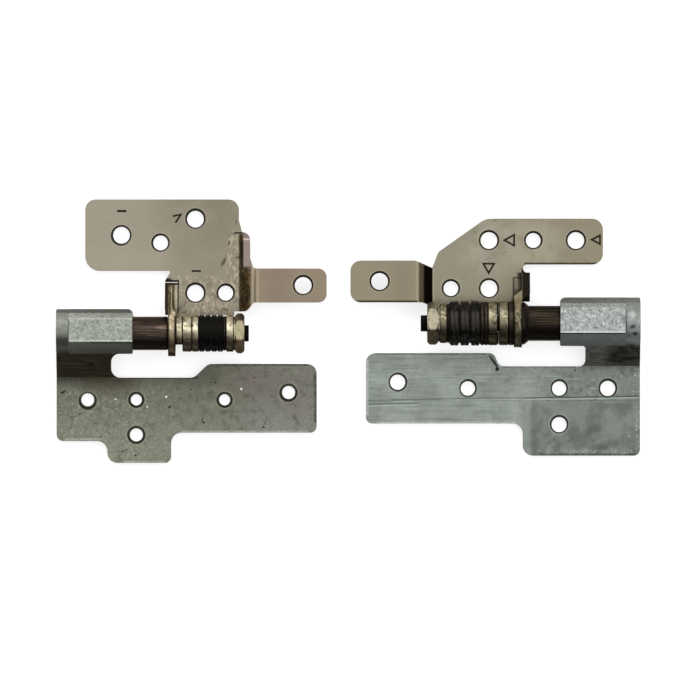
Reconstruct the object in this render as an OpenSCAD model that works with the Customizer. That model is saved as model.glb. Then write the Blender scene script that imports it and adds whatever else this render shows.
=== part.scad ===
// Pair of laptop screen hinges, laid flat and opened to 180 degrees.
// Each hinge has a die-cast base bracket, a shaft cast into it, and a folded
// sheet bracket for the screen whose ear turns on the shaft between a stack of
// keyed washers and disc springs held by a hexagon nut.
// Each hinge is drawn in its own frame: u runs along the shaft from the outer
// end of the block, v runs from the shaft towards the screen, z is up.

/* [Pair] */
// Gap between the two hinges as they lie
pair_gap = 4.4; // [2:0.1:25]
// Height of both shaft axes above the surface that the plates lie on
axis_z = 4.7; // [4.6:0.05:5.5]
// How far the right axis lies above the left one in the layout
axis_step = 1.85; // [-3:0.05:4]

/* [Shared sizes] */
// Diameter of the screw holes in the screen brackets
screen_screw_d = 3.1; // [2.6:0.1:3.6]
// Diameter of the locating holes in the screen brackets
screen_peg_d = 2.75; // [2:0.05:3.2]
// Width and depth of the rolled edge round the holes of the screen brackets
screen_rim = 0.35; // [0.1:0.05:0.5]
// Plate thickness of the cast base brackets
plate_t = 1.6; // [1.2:0.1:2]
// Thread size of the shaft ends, also the round of the keyed stretch
thread_d = 4; // [3.6:0.1:4.2]
// Width across the two flats of the keyed stretch
flats_w = 3; // [2.8:0.05:3.3]
// Diameter of the journal that carries each ear
journal_d = 4.8; // [4.6:0.1:5.2]
// Clearance all round between the journal and the ear
journal_gap = 0.05; // [0.02:0.01:0.1]
// Clearance all round between keyed pieces and the shaft
key_gap = 0.05; // [0.02:0.01:0.12]
// Clearance between faces that turn against each other
face_gap = 0.05; // [0.02:0.01:0.12]
// Edge chamfer of washers, cams and shaft
edge_c = 0.15; // [0.05:0.01:0.25]
// Gap left by the sheared relief cut beside each ear
relief_cut = 0.15; // [0.08:0.01:0.3]
// Depth that the coined inside of each ear fold is set below the sheet
coin_depth = 0.12; // [0.04:0.01:0.25]
// Height that the joggle lifts each arm
joggle_rise = 2.6; // [1.8:0.1:3.2]
// Inside radius of the joggle folds
joggle_r = 0.6; // [0.3:0.05:1]

/* [Left base bracket] */
// Diameter of the screw holes
left_screw_d = 2.4; // [2:0.1:3]
// Diameter of the locating holes
left_peg_d = 2.05; // [1.6:0.05:2.6]
// Width of the sloping rim round each hole
left_rim = 0.5; // [0.1:0.05:0.7]
// Length of the block round the shaft
left_block_len = 14.1; // [12.5:0.1:16]
// Reach of the block from the axis towards the screen
left_block_back = 4.5; // [4.1:0.05:4.9]
// Reach of the block from the axis towards the plate
left_block_front = 3.8; // [3.5:0.05:4.4]
// Top of the raised flat above the surface
left_block_h = 8.45; // [8.2:0.05:9.2]
// Width of the raised flat
left_pad_w = 4.45; // [3:0.05:5]
// Offset of the raised flat's middle from the axis
left_pad_v = 0.7; // [0:0.05:0.8]
// Bare length of round barrel outside the raised flat
left_pad_inset = 2.35; // [1.5:0.05:4]
// Width of the neck between block and plate
left_neck_w = 10.1; // [8.6:0.1:11.5]
// Distance from the axis to the inner edge of the notch
left_notch_v = 8.2; // [7.4:0.1:9]
// Length of the notch bottom beyond the neck
left_notch_len = 15.3; // [13.5:0.1:16.5]
// Length that the slope out of the notch takes
left_slope_len = 2.7; // [1.5:0.1:3.5]
// Distance from the axis to the inner edge of the arm
left_arm_v = 5.65; // [5:0.05:6.4]
// Total length of the base bracket
left_base_len = 48.15; // [47:0.05:51]
// Distance from the axis to the outer edge of the arm
left_base_v = 18.4; // [17.4:0.1:19.4]
// Distance from the axis to the outer edge below the neck
left_heel_v = 19.95; // [19.3:0.05:21.5]
// Start of the tab along the shaft
left_tab_u = 9.4; // [8:0.1:10.6]
// Width of the tab
left_tab_w = 11.8; // [10.8:0.1:14]
// Distance from the axis to the end of the tab
left_tab_v = 24; // [22.5:0.1:26]
// Distance from the axis to the row of locating holes
left_peg_v = 12.3; // [11.5:0.05:13]
// Near screw hole along the shaft
left_screw_u = 5.75; // [4.5:0.05:7]
// Far screw hole in from the end of the base bracket
left_far_screw_in = 5.2; // [3.8:0.05:8]
// Far screw hole from the axis
left_far_screw_v = 10.95; // [9:0.05:14]
// Tab screw hole and near locating hole in from the start of the tab
left_tab_screw_in = 5.35; // [3.8:0.05:8]
// Tab screw hole in from the end of the tab
left_tab_screw_up = 5.2; // [3.2:0.05:6.5]
// Distance between the two locating holes
left_peg_pitch = 16.35; // [14:0.05:20]

/* [Left shaft and stack] */
// Diameter of the shaft
left_shaft_d = 6.2; // [5.6:0.1:6.4]
// Bare length of shaft between block and ear
left_shaft_run = 6.55; // [5.4:0.05:8]
// Diameter of the washers in the stack
left_stack_d = 6.8; // [6.4:0.1:7.4]
// Thickness of the stop washer
left_stop_t = 1.25; // [1:0.05:1.6]
// Distance from the axis to the cut edge of the stop washer
left_stop_cut = 2.1; // [2:0.05:2.6]
// Thickness of the notched washer
left_notched_t = 1.75; // [1.2:0.05:2]
// Thickness of the thrust washer
left_thrust_t = 1.25; // [1:0.05:1.7]
// Number of disc springs
left_springs = 8; // [4:2:10]
// Diameter of the disc springs
left_spring_d = 6.8; // [6.2:0.1:7.2]
// Room that one disc spring takes along the shaft
left_spring_pitch = 0.57; // [0.5:0.005:0.62]
// Thickness of a disc spring's sheet
left_spring_t = 0.42; // [0.34:0.01:0.44]
// Thickness of the thin dark washer under the springs
left_thin_t = 0.5; // [0.3:0.05:0.6]
// Thickness of the bright pressure washer
left_pressure_t = 1.4; // [1:0.05:1.8]
// Width of the nut across its flats
left_nut_w = 6.5; // [6:0.1:7]
// Thickness of the nut
left_nut_t = 2; // [1.6:0.05:2.4]
// Turn of the nut on the shaft
left_nut_turn = 21; // [0:1:59]
// Length of thread that stands out of the nut
left_thread_out = 0.8; // [0.2:0.05:1.2]

/* [Left screen bracket] */
// Sheet thickness
left_sheet_t = 1.35; // [1.2:0.05:1.5]
// Inside radius of the ear fold
left_fold_r = 1; // [0.8:0.05:1.2]
// Start of the ear fold along the shaft
left_fold_u = 22.45; // [22.2:0.05:22.9]
// Radius of the ear round the shaft
left_ear_r = 4.25; // [4:0.05:4.5]
// Distance from the axis to the near edge of the sheet
left_sheet_v = 3.4; // [3.2:0.05:4.2]
// Distance from the axis to the relief cut
left_relief_v = 9.5; // [8.6:0.1:10]
// Distance from the axis to the near edge of the wing
left_wing_v0 = 11.55; // [11.2:0.05:12.5]
// Distance from the axis to the far edge of the wing
left_wing_v1 = 24.8; // [23:0.1:26]
// Outer end of the wing along the shaft
left_wing_u = 5.3; // [3:0.1:7]
// Edge of the sheet beyond the side flange
left_side_u = 33.75; // [33.4:0.05:34.3]
// Fold of the joggle along the shaft
left_joggle_u = 34.6; // [34.4:0.05:35]
// Run of the joggle from the sheet to the arm
left_joggle_run = 1.9; // [1.5:0.1:2.6]
// Height of the side flange beside the joggle
left_flange_h = 2.3; // [1.8:0.1:2.5]
// Outer face of the side flange along the shaft
left_flange_u = 35.85; // [35.6:0.05:36]
// Distance from the axis to the end of the side flange
left_flange_v = 18.75; // [17:0.05:20]
// End of the arm along the shaft
left_arm_end = 50; // [47:0.1:54]
// Width of the arm
left_arm_w = 6.3; // [5.6:0.05:7]
// Middle of the arm from the axis
left_arm_mid = 8.85; // [8.5:0.05:9.2]
// Arm hole in from the end of the arm
left_arm_hole_in = 4.35; // [3.2:0.05:7]
// Wing screw hole, midway across the wing, in from its outer end
left_wing_screw_in = 6.7; // [4:0.05:9]
// Body screw holes along the shaft
left_body_screw_u = 25.7; // [25.2:0.05:27]
// Far body screw hole in from the far edge of the wing
left_body_screw_in = 3.65; // [3:0.05:6]
// Near body screw hole and locating hole from the axis
left_near_hole_v = 7.45; // [6.5:0.05:9]
// Wing locating hole along the shaft
left_wing_peg_u = 19.25; // [17:0.05:21]
// Wing locating hole in from the near edge of the wing
left_wing_peg_in = 5.2; // [3.2:0.05:9]
// Near locating hole along the shaft
left_near_peg_u = 31.3; // [30.2:0.05:31.4]

/* [Right base bracket] */
// Diameter of the screw holes
right_screw_d = 2.8; // [2.2:0.1:3.2]
// Diameter of the locating holes
right_peg_d = 2.65; // [2:0.05:2.9]
// Width of the sloping rim round each hole
right_rim = 0.35; // [0.1:0.05:0.6]
// Length of the block round the shaft
right_block_len = 14.8; // [12.5:0.1:16]
// Reach of the block from the axis towards the screen
right_block_back = 4.8; // [4.1:0.05:4.9]
// Reach of the block from the axis towards the plate
right_block_front = 4.2; // [3.8:0.05:4.4]
// Top of the raised flat above the surface
right_block_h = 8.6; // [8.4:0.05:9.2]
// Width of the raised flat
right_pad_w = 4.75; // [3:0.05:5]
// Offset of the raised flat's middle from the axis
right_pad_v = 0.6; // [0:0.05:0.8]
// Bare length of round barrel outside the raised flat
right_pad_inset = 2.7; // [1.5:0.05:4]
// Width of the neck between block and plate
right_neck_w = 10.1; // [8.6:0.1:11.5]
// Distance from the axis to the inner edge of the notch
right_notch_v = 7.95; // [7.4:0.05:9]
// Length of the notch bottom beyond the neck
right_notch_len = 15.9; // [14:0.1:17]
// Length that the slope out of the notch takes
right_slope_len = 1.1; // [0.6:0.1:2.5]
// Distance from the axis to the inner edge of the arm
right_arm_v = 5.5; // [5:0.05:6.4]
// Total length of the base bracket
right_base_len = 50.75; // [49:0.05:52]
// Distance from the axis to the outer edge of the arm
right_base_v = 18.55; // [17.4:0.05:20]
// Start of the tab's inner side along the shaft
right_tab_u = 21.7; // [20:0.1:24]
// Distance from the axis to the end of the tab
right_tab_v = 24.5; // [22.5:0.1:26]
// Distance from the axis to the shallow step across the plate
right_step_v = 14.2; // [13.9:0.05:16]
// Depth of the shallow step
right_step_h = 0.15; // [0.05:0.05:0.3]
// Distance from the axis to the row of locating holes
right_peg_v = 12.05; // [11.5:0.05:12.3]
// Near screw hole along the shaft
right_screw_u = 5.95; // [4.5:0.05:7]
// Far screw hole in from the end of the base bracket
right_far_screw_in = 5.9; // [3.8:0.05:8.5]
// Far screw hole from the axis
right_far_screw_v = 10.9; // [9:0.05:11.8]
// Tab screw hole and near locating hole in from the tab's inner side
right_tab_screw_in = 6.75; // [3.8:0.05:8.5]
// Tab screw hole in from the end of the tab
right_tab_screw_up = 5.75; // [3.2:0.05:7]
// Distance between the two locating holes
right_peg_pitch = 16.9; // [14:0.05:20]

/* [Right shaft and stack] */
// Diameter of the shaft
right_shaft_d = 6.5; // [5.8:0.1:6.8]
// Bare length of shaft between block and collar
right_shaft_run = 5.85; // [4.8:0.05:7]
// Length of the conical collar against the ear
right_collar_len = 1.2; // [0.8:0.05:1.6]
// Diameter of the collar against the ear
right_collar_d = 8; // [7:0.1:8.4]
// Diameter of the washers and cams in the stack
right_stack_d = 8.1; // [7.4:0.1:8.4]
// Thickness of the dark washer beside the ear
right_ear_washer_t = 1; // [0.6:0.05:1.2]
// Thickness of the turning cam
right_turning_t = 1.75; // [1.4:0.05:2.2]
// Thickness of the sliding cam
right_sliding_t = 1.75; // [1.4:0.05:2.2]
// Height of the lobes on the sliding cam
right_lobe_h = 0.22; // [0.1:0.01:0.35]
// Width of a lobe at its foot
right_lobe_w = 3; // [2:0.1:3.6]
// Width of the lugs that lock the turning cam to the ear
right_lug_w = 1.7; // [1.2:0.1:2.2]
// Direction of the lugs round the shaft, from the screen side upwards
right_lug_turn = 78; // [60:1:120]
// Depth of the notch in the rim of the notched washer and sliding cam
notch_depth = 0.7; // [0.3:0.05:0.9]
// Width of that notch
notch_w = 1.1; // [0.6:0.1:1.6]
// Direction of the left notch from straight up, towards the plate
left_notch_turn = 12; // [-30:1:60]
// Direction of the right notch from straight up, towards the plate
right_notch_turn = 26; // [-30:1:60]
// Thickness of each dark washer beside the springs
right_dark_t = 0.7; // [0.4:0.05:1]
// Number of disc springs
right_springs = 6; // [4:2:8]
// Diameter of the disc springs
right_spring_d = 8.2; // [7.6:0.1:8.6]
// Room that one disc spring takes along the shaft
right_spring_pitch = 0.965; // [0.9:0.005:1]
// Thickness of a disc spring's sheet
right_spring_t = 0.7; // [0.6:0.01:0.74]
// Thickness of the thin dark washer under the springs
right_thin_t = 0.4; // [0.3:0.05:0.6]
// Diameter of the bright pressure washer
right_pressure_d = 7.3; // [6.8:0.1:8.2]
// Thickness of the bright pressure washer
right_pressure_t = 1.35; // [1:0.05:1.6]
// Width of the nut across its flats
right_nut_w = 7; // [6.5:0.1:7.5]
// Thickness of the nut
right_nut_t = 2.3; // [1.8:0.05:2.6]
// Turn of the nut on the shaft
right_nut_turn = 18; // [0:1:59]
// Length of thread that stands out of the nut
right_thread_out = 1.2; // [0.4:0.05:1.6]

/* [Right screen bracket] */
// Sheet thickness
right_sheet_t = 1.5; // [1.3:0.05:1.55]
// Inside radius of the ear fold
right_fold_r = 1.5; // [1.2:0.05:1.7]
// Start of the ear fold along the shaft
right_fold_u = 23.4; // [23.1:0.05:23.8]
// Radius of the ear round the shaft
right_ear_r = 4.45; // [4.2:0.05:4.55]
// Distance from the axis to the near edge of the sheet
right_sheet_v = 3.4; // [3.2:0.05:4]
// Distance from the axis to the near end of the ear fold
right_root_v = 4; // [3.8:0.05:4.6]
// Distance from the axis to the end of the ear's root
right_relief_v = 9.4; // [8.6:0.1:9.8]
// Distance from the axis to the near edge of the wing
right_wing_v0 = 10.9; // [10.8:0.05:12]
// Distance from the axis to the far edge of the wing
right_wing_v1 = 19.4; // [18:0.05:21]
// Outer end of the wing along the shaft
right_wing_u = 6.85; // [4:0.05:8]
// Edge of the sheet beside the joggle
right_side_u = 38.45; // [38:0.05:38.8]
// Fold of the joggle along the shaft
right_joggle_u = 39.25; // [39:0.05:39.8]
// Distance from the axis to the lower end of the slanted edge
right_slant_v = 13.2; // [12.4:0.1:14.5]
// Upper end of the slanted edge along the shaft
right_slant_u = 28.6; // [27:0.1:31]
// Run of the joggle from the sheet to the arm
right_joggle_run = 1.65; // [1.5:0.05:2.6]
// End of the arm along the shaft
right_arm_end = 53.6; // [50:0.1:56]
// Width of the arm
right_arm_w = 7.75; // [6.8:0.05:7.8]
// Middle of the arm from the axis
right_arm_mid = 7.75; // [7.7:0.05:8.2]
// Arm hole in from the end of the arm
right_arm_hole_in = 5.4; // [3.4:0.05:8]
// Wing holes in from the far edge of the wing
right_wing_hole_in = 4.05; // [3:0.05:5]
// Wing screw hole in from the wing's outer end
right_wing_screw_in = 5; // [3.2:0.05:7]
// Wing locating hole along the shaft
right_wing_peg_u = 19.75; // [17.5:0.05:22]
// Body screw holes along the shaft
right_body_screw_u = 27.95; // [26.2:0.05:30]
// Near body screw hole and locating hole from the axis
right_near_hole_v = 6.45; // [6:0.05:7.5]
// Near locating hole along the shaft
right_near_peg_u = 35; // [33:0.05:35.4]

/* [Hidden] */

$fn = 72;

// Colours of the finishes
zinc = [0.62, 0.65, 0.66];
nickel = [0.64, 0.6, 0.53];
bright = [0.8, 0.77, 0.7];
brown = [0.25, 0.18, 0.16];
black = [0.12, 0.13, 0.13];

// Depth that the cast block keeps closed behind the shaft
block_floor = 1.8;
// Length that the ramp runs on past the neck, where the outline trims it
ramp_over = 2;
// Height that the ramp meets the block at, above the axis plane
ramp_lift = 0.4;
// Draft of the block's sides below its widest line
block_draft = 0.3;
// Depth of the raised flat above the round barrel
pad_proud = 0.3;
// Share of a lobe's foot that its flat top keeps
lobe_top = 0.4;
// Distance that the lugs stop short of the ear's outer face
lug_recess = 0.2;
// Wall kept between the lugs and the journal, and between them and the rim
lug_wall = 0.5;
right_lug_r0 = journal_d / 2 + lug_wall;
right_lug_r1 = right_stack_d / 2 - lug_wall;
// Depth of the cast rims for each part of their width
rim_slope = 1.6;
// Slope of the block's back and front beside the raised flat
pad_back_slope = 1.35;
pad_front_slope = 1.2;
// Direction from the lobe's top at which the ear's edge leaves it towards the root
ear_part = 32;
// Height of the ear's edge above the top of the fold at its far end
ear_step_up = 2;
// Corner radii of the base castings
plate_r = 1.2;
tab_r = 1.9;
tab_root_r = 1.9;
arm_end_r = 1.75;
left_notch_r = 1.7;
right_notch_r = 1.2;
left_neck_r = 1.5;
right_neck_r = 0.5;
block_end_r = 0.9;
block_r = 0.25;
// Corner radii of the screen brackets
left_wing_r = 1.9;
left_wing_low_r = 2.7;
right_wing_r = 2;
right_slant_r = 1.2;
right_shoulder_r = 3.4;
left_arm_r = 1.55;
right_arm_r = 1.9;
arm_root_r = 0.7;
// Flat sheet that each arm's section starts from beside its first fold
joggle_root = 1.7;
// How far past the joggle the arm reaches its own width
arm_lead = 0.6;
// Room between a nut's corners and the joggle that turns past them
turn_gap = 0.3;
// Near edges of the joggles beside the nuts
left_joggle_v = left_nut_w / cos(30) / 2 + turn_gap;
right_joggle_v = right_nut_w / 2;
left_joggle_r = 1.2;
// Length of the side flange's sloping end, its corner, and its dip below the sheet's face
flange_end_len = 1.3;
flange_r = 0.9;
flange_dip = 0.3;
// Corner of the side flange seen from above, and the width of its foot beside the arm
flange_plan_r = 1.9;
flange_foot = 1.9;
// Small crook between the left wing and its relief cut
left_crook_run = 1.1;
left_crook_rise = 0.3;
// How much wider the left sheet is beside its flange, and the length of that change
left_side_out = 0.6;
left_side_run = 2.2;
// Short side of the right sheet between the joggle and the slanted edge, and its inset
right_side_run = 2.95;
right_side_in = 1.1;
// Round relief between the right wing and the ear's root, in from the fold's back
right_relief_in = 0.5;
// Depth of the corner cut off beside the right ear's root
right_relief_cut = 1.1;
// Direction below the shaft at which the ear's lobe runs over into its root
ear_leave = 50;
// Width of the corner left out of the right sheet beside its ear fold
fold_cut = 0.5;
// Room between the shaft's shoulder and the start of the ear's step
step_clear = 0.3;
// Length of each ear's step towards the screen
left_step_len = 0.9;
right_step_len = 1.1;
// Share of the collar's length that its cone takes
collar_cone = 0.6;
// Height of each nut's raised face
nut_face = 0.25;
// Gap kept at each face of a disc spring
spring_gap = 0.01;
// Corner facets per quarter turn
corner_steps = 8;
// Size that is certain to reach past any piece
beyond = 60;

// Places of the two hinges in the pair
span = max(left_base_len, left_arm_end) + pair_gap + max(right_base_len, right_arm_end);
left_axis_v = (left_tab_v - left_wing_v1) / 2;
right_axis_v = left_axis_v + axis_step;

// Places along the left shaft, from the block outwards
left_ear_u = left_block_len + left_shaft_run + face_gap;
left_stop_u = left_ear_u + left_sheet_t + face_gap;
left_notched_u = left_stop_u + left_stop_t;
left_thrust_u = left_notched_u + left_notched_t;
left_spring_u = left_thrust_u + left_thrust_t;
left_thin_u = left_spring_u + left_springs * left_spring_pitch;
left_pressure_u = left_thin_u + left_thin_t;
left_nut_u = left_pressure_u + left_pressure_t;
left_shaft_end = left_nut_u + left_nut_t + left_thread_out;

// Places along the right shaft, from the block outwards
right_collar_u = right_block_len + right_shaft_run;
right_ear_u = right_collar_u + right_collar_len + face_gap;
right_ear_washer_u = right_ear_u + right_sheet_t;
right_turning_u = right_ear_washer_u + right_ear_washer_t;
right_sliding_u = right_turning_u + right_turning_t + right_lobe_h + face_gap;
right_dark_u = right_sliding_u + right_sliding_t;
right_spring_u = right_dark_u + 2 * right_dark_t;
right_thin_u = right_spring_u + right_springs * right_spring_pitch;
right_pressure_u = right_thin_u + right_thin_t;
right_nut_u = right_pressure_u + right_pressure_t;
right_shaft_end = right_nut_u + right_nut_t + right_thread_out;

// Unit vector along a
function unit(a) = a / norm(a);

// Whether b lies on a straight run between its neighbours a and c
function straight(a, b, c) = norm(unit(a - b) + unit(c - b)) < 0.001;

// Turn of a degrees brought into the half turn to either side
function wrap(a) = a - 360 * round(a / 360);

// Points of a corner at b of radius r, between its neighbours a and c
function corner(a, b, c, r) =
    r <= 0 || straight(a, b, c) ? [b] :
    let (to_a = unit(a - b), to_c = unit(c - b))
    let (half = acos(to_a * to_c) / 2)
    let (room = 0.49 * min(norm(a - b), norm(c - b)))
    let (fit_r = min(r, room * tan(half)))
    let (centre = b + unit(to_a + to_c) * fit_r / sin(half))
    let (first = b + to_a * fit_r / tan(half) - centre)
    let (last = b + to_c * fit_r / tan(half) - centre)
    let (start = atan2(first.y, first.x))
    let (sweep = wrap(atan2(last.y, last.x) - start))
    let (steps = max(2, ceil(abs(sweep) * corner_steps / 90)))
    [for (i = [0 : steps])
        centre + fit_r * [cos(start + sweep * i / steps), sin(start + sweep * i / steps)]];

// Outline through [x, y, radius] corners with each corner rounded
function rounded(list) =
    let (n = len(list))
    [for (i = [0 : n - 1]) each corner(
        [list[(i + n - 1) % n].x, list[(i + n - 1) % n].y],
        [list[i].x, list[i].y],
        [list[(i + 1) % n].x, list[(i + 1) % n].y],
        list[i].z)];

// Carries a hinge from its own frame to its place in the pair
module left_place() {
    translate([-span / 2, left_axis_v, 0]) children();
}

// The same for the right hinge, which is drawn mirrored
module right_place() {
    translate([span / 2, right_axis_v, 0]) mirror([1, 0, 0]) children();
}

// Extrudes a (v, z) section along the shaft from u0 to u1
module along_u(u0, u1) {
    translate([u0, 0, 0]) rotate([90, 0, 90]) linear_extrude(height = u1 - u0) children();
}

// Extrudes a (u, z) section across the shaft from v0 to v1
module along_v(v0, v1) {
    translate([0, v1, 0]) rotate([90, 0, 0]) linear_extrude(height = v1 - v0) children();
}

// Sets a turned piece on the shaft axis at u, pointing along it
module on_shaft(u) {
    translate([u, 0, axis_z]) rotate([0, 90, 0]) children();
}

// Round bar with both edges chamfered
module turned_bar(d, h, c) {
    rotate_extrude() polygon([
        [0, 0], [d / 2 - c, 0], [d / 2, c], [d / 2, h - c], [d / 2 - c, h], [0, h]
    ]);
}

// Bar with two flats, with gap added all round
module keyed_bar(h, gap) {
    linear_extrude(height = h) intersection() {
        circle(d = thread_d + 2 * gap);
        square([beyond, flats_w + 2 * gap], center = true);
    }
}

// Washer with chamfered edges and a keyed hole
module keyed_washer(d, h) {
    difference() {
        turned_bar(d, h, edge_c);
        translate([0, 0, -1]) keyed_bar(h + 2, key_gap);
    }
}

// Conical disc spring in a space of h, flipped when its dish faces back
module disc_spring(d, h, t, flipped) {
    bore_r = thread_d / 2 + 2 * key_gap;
    rim_r = d / 2;
    cone = h - t - 2 * spring_gap;
    foot = flipped ? cone : 0;
    rise = flipped ? -cone : cone;
    translate([0, 0, spring_gap]) rotate_extrude() polygon([
        [bore_r, foot + rise], [rim_r, foot],
        [rim_r, foot + t], [bore_r, foot + rise + t]
    ]);
}

// Hexagon nut with both ends chamfered, on a raised round face
module hex_nut(w, t, turn) {
    corner_d = w / cos(30);
    difference() {
        union() {
            rotate([0, 0, turn]) intersection() {
                translate([0, 0, nut_face]) cylinder(d = corner_d, h = t - nut_face, $fn = 6);
                translate([0, 0, nut_face])
                    turned_bar(corner_d, t - nut_face, (corner_d - w) / 2);
            }
            cylinder(d = w - 2 * edge_c, h = nut_face * 2);
        }
        translate([0, 0, -1]) cylinder(d = thread_d + 2 * key_gap, h = t + 2);
    }
}

// Section of the cast block across the shaft
module block_section(front, back, height) {
    barrel_v = (back - front) / 2;
    barrel_r = (back + front) / 2;
    barrel_z = height - pad_proud - barrel_r;
    translate([barrel_v, barrel_z]) circle(r = barrel_r);
    polygon([
        [-front, barrel_z], [-front + block_draft, 0],
        [back - block_draft, 0], [back, barrel_z]
    ]);
}

// Raised flat on top of the block, with its sloping sides
module pad_section(front, back, height, pad_w, pad_v) {
    polygon([
        [-front, axis_z], [back, axis_z],
        [back, height - (back - pad_v - pad_w / 2) * pad_back_slope],
        [pad_v + pad_w / 2, height], [pad_v - pad_w / 2, height],
        [-front, height - (front + pad_v - pad_w / 2) * pad_front_slope]
    ]);
}

// Ramp that rises from the plate to the block
module ramp_section(front, notch) {
    polygon([
        [-notch, 0], [-notch, plate_t],
        [-front, axis_z + ramp_lift], [0, axis_z + ramp_lift], [0, 0]
    ]);
}

// One base casting from its plan outline and its sections
module base_casting(outline, depth, neck, notch, front, back, height, len, pad_w, pad_v, pad_in) {
    intersection() {
        linear_extrude(height = beyond) polygon(outline);
        union() {
            translate([0, -depth - 1, 0]) cube([beyond, depth + 1 - front, plate_t]);
            along_u(0, neck + ramp_over) ramp_section(front, notch);
            along_u(0, len) block_section(front, back, height);
            along_u(pad_in, len) pad_section(front, back, height, pad_w, pad_v);
        }
    }
}

// Bore with a rim that opens upwards to the face at top
module rimmed_hole(u, v, top, d, rim_w, rim_h) {
    translate([u, v, -1]) cylinder(d = d, h = top + 2);
    translate([u, v, top - rim_h]) cylinder(d1 = d, d2 = d + 4 * rim_w, h = 2 * rim_h);
}

// One hole through a base plate
module plate_hole(u, v, d, rim_w) {
    rimmed_hole(u, v, plate_t, d, rim_w, rim_w * rim_slope);
}

// Left base casting
module left_base_bracket() {
    slope_u = left_neck_w + left_notch_len;
    tab_hole_u = left_tab_u + left_tab_screw_in;
    outline = rounded([
        [0, -left_heel_v, plate_r],
        [left_tab_u, -left_heel_v, tab_root_r],
        [left_tab_u, -left_tab_v, tab_r],
        [left_tab_u + left_tab_w, -left_tab_v, plate_r],
        [left_tab_u + left_tab_w, -left_base_v, tab_root_r],
        [left_base_len, -left_base_v, plate_r],
        [left_base_len, -left_arm_v, arm_end_r],
        [slope_u + left_slope_len, -left_arm_v, left_notch_r],
        [slope_u, -left_notch_v, left_notch_r],
        [left_neck_w, -left_notch_v, left_notch_r],
        [left_neck_w, -left_block_front, left_neck_r],
        [left_block_len, -left_block_front, block_r],
        [left_block_len, left_block_back, block_end_r],
        [0, left_block_back, block_r]
    ]);
    color(zinc) left_place() difference() {
        base_casting(outline, left_tab_v, left_neck_w, left_notch_v, left_block_front,
            left_block_back, left_block_h, left_block_len, left_pad_w, left_pad_v,
            left_pad_inset);
        on_shaft(block_floor) cylinder(d = left_shaft_d, h = beyond);
        plate_hole(left_screw_u, -left_peg_v, left_screw_d, left_rim);
        plate_hole(left_base_len - left_far_screw_in, -left_far_screw_v, left_screw_d, left_rim);
        plate_hole(tab_hole_u, left_tab_screw_up - left_tab_v, left_screw_d, left_rim);
        for (i = [0, 1]) {
            plate_hole(tab_hole_u + i * left_peg_pitch, -left_peg_v, left_peg_d, left_rim);
        }
    }
}

// Right base casting
module right_base_bracket() {
    slope_u = right_neck_w + right_notch_len;
    tab_hole_u = right_tab_u - right_tab_screw_in;
    outline = rounded([
        [0, -right_tab_v, plate_r],
        [right_tab_u, -right_tab_v, tab_r],
        [right_tab_u, -right_base_v, tab_root_r],
        [right_base_len, -right_base_v, plate_r],
        [right_base_len, -right_arm_v, arm_end_r],
        [slope_u + right_slope_len, -right_arm_v, right_notch_r],
        [slope_u, -right_notch_v, right_notch_r],
        [right_neck_w, -right_notch_v, right_notch_r],
        [right_neck_w, -right_block_front, right_neck_r],
        [right_block_len, -right_block_front, block_r],
        [right_block_len, right_block_back, block_end_r],
        [0, right_block_back, block_r]
    ]);
    color(zinc) right_place() difference() {
        base_casting(outline, right_tab_v, right_neck_w, right_notch_v, right_block_front,
            right_block_back, right_block_h, right_block_len, right_pad_w, right_pad_v,
            right_pad_inset);
        translate([-1, -beyond, plate_t - right_step_h])
            cube([beyond, beyond - right_step_v, 1]);
        on_shaft(block_floor) cylinder(d = right_shaft_d, h = beyond);
        plate_hole(right_screw_u, -right_peg_v, right_screw_d, right_rim);
        plate_hole(right_base_len - right_far_screw_in, -right_far_screw_v, right_screw_d, right_rim);
        plate_hole(tab_hole_u, right_tab_screw_up - right_tab_v, right_screw_d, right_rim);
        for (i = [0, 1]) {
            plate_hole(tab_hole_u + i * right_peg_pitch, -right_peg_v, right_peg_d, right_rim);
        }
    }
}

// Journal under the ear, keyed stretch and threaded end, each rooted inside the one before
module shaft_tail(u, journal_len, end_u) {
    on_shaft(block_floor) cylinder(d = journal_d, h = u + journal_len - block_floor);
    on_shaft(u) intersection() {
        keyed_bar(end_u - u, 0);
        turned_bar(thread_d, end_u - u, edge_c * 2);
    }
}

// Left shaft, cast into the block at one end
module left_shaft() {
    shoulder_u = left_block_len + left_shaft_run;
    color(brown) left_place() {
        on_shaft(block_floor) turned_bar(left_shaft_d, shoulder_u - block_floor, edge_c);
        shaft_tail(shoulder_u, left_sheet_t + 2 * face_gap, left_shaft_end);
    }
}

// Right shaft, with the conical collar that the ear bears on
module right_shaft() {
    color(brown) right_place() {
        on_shaft(block_floor) rotate_extrude() polygon([
            [0, 0],
            [right_shaft_d / 2, 0],
            [right_shaft_d / 2, right_collar_u - block_floor],
            [right_collar_d / 2 - edge_c, right_collar_u + right_collar_len * collar_cone - block_floor],
            [right_collar_d / 2, right_collar_u + right_collar_len - block_floor],
            [0, right_collar_u + right_collar_len - block_floor]
        ]);
        shaft_tail(right_collar_u + right_collar_len,
            right_sheet_t + right_ear_washer_t, right_shaft_end);
    }
}

// Quarter bend from the flat sheet up into the ear
module ear_bend(fold_u, fold_r, t) {
    translate([fold_u, fold_r + t]) intersection() {
        difference() {
            circle(r = fold_r + t);
            circle(r = fold_r + coin_depth);
        }
        translate([-fold_r - t, -fold_r - t]) square(fold_r + t);
    }
}

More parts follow.
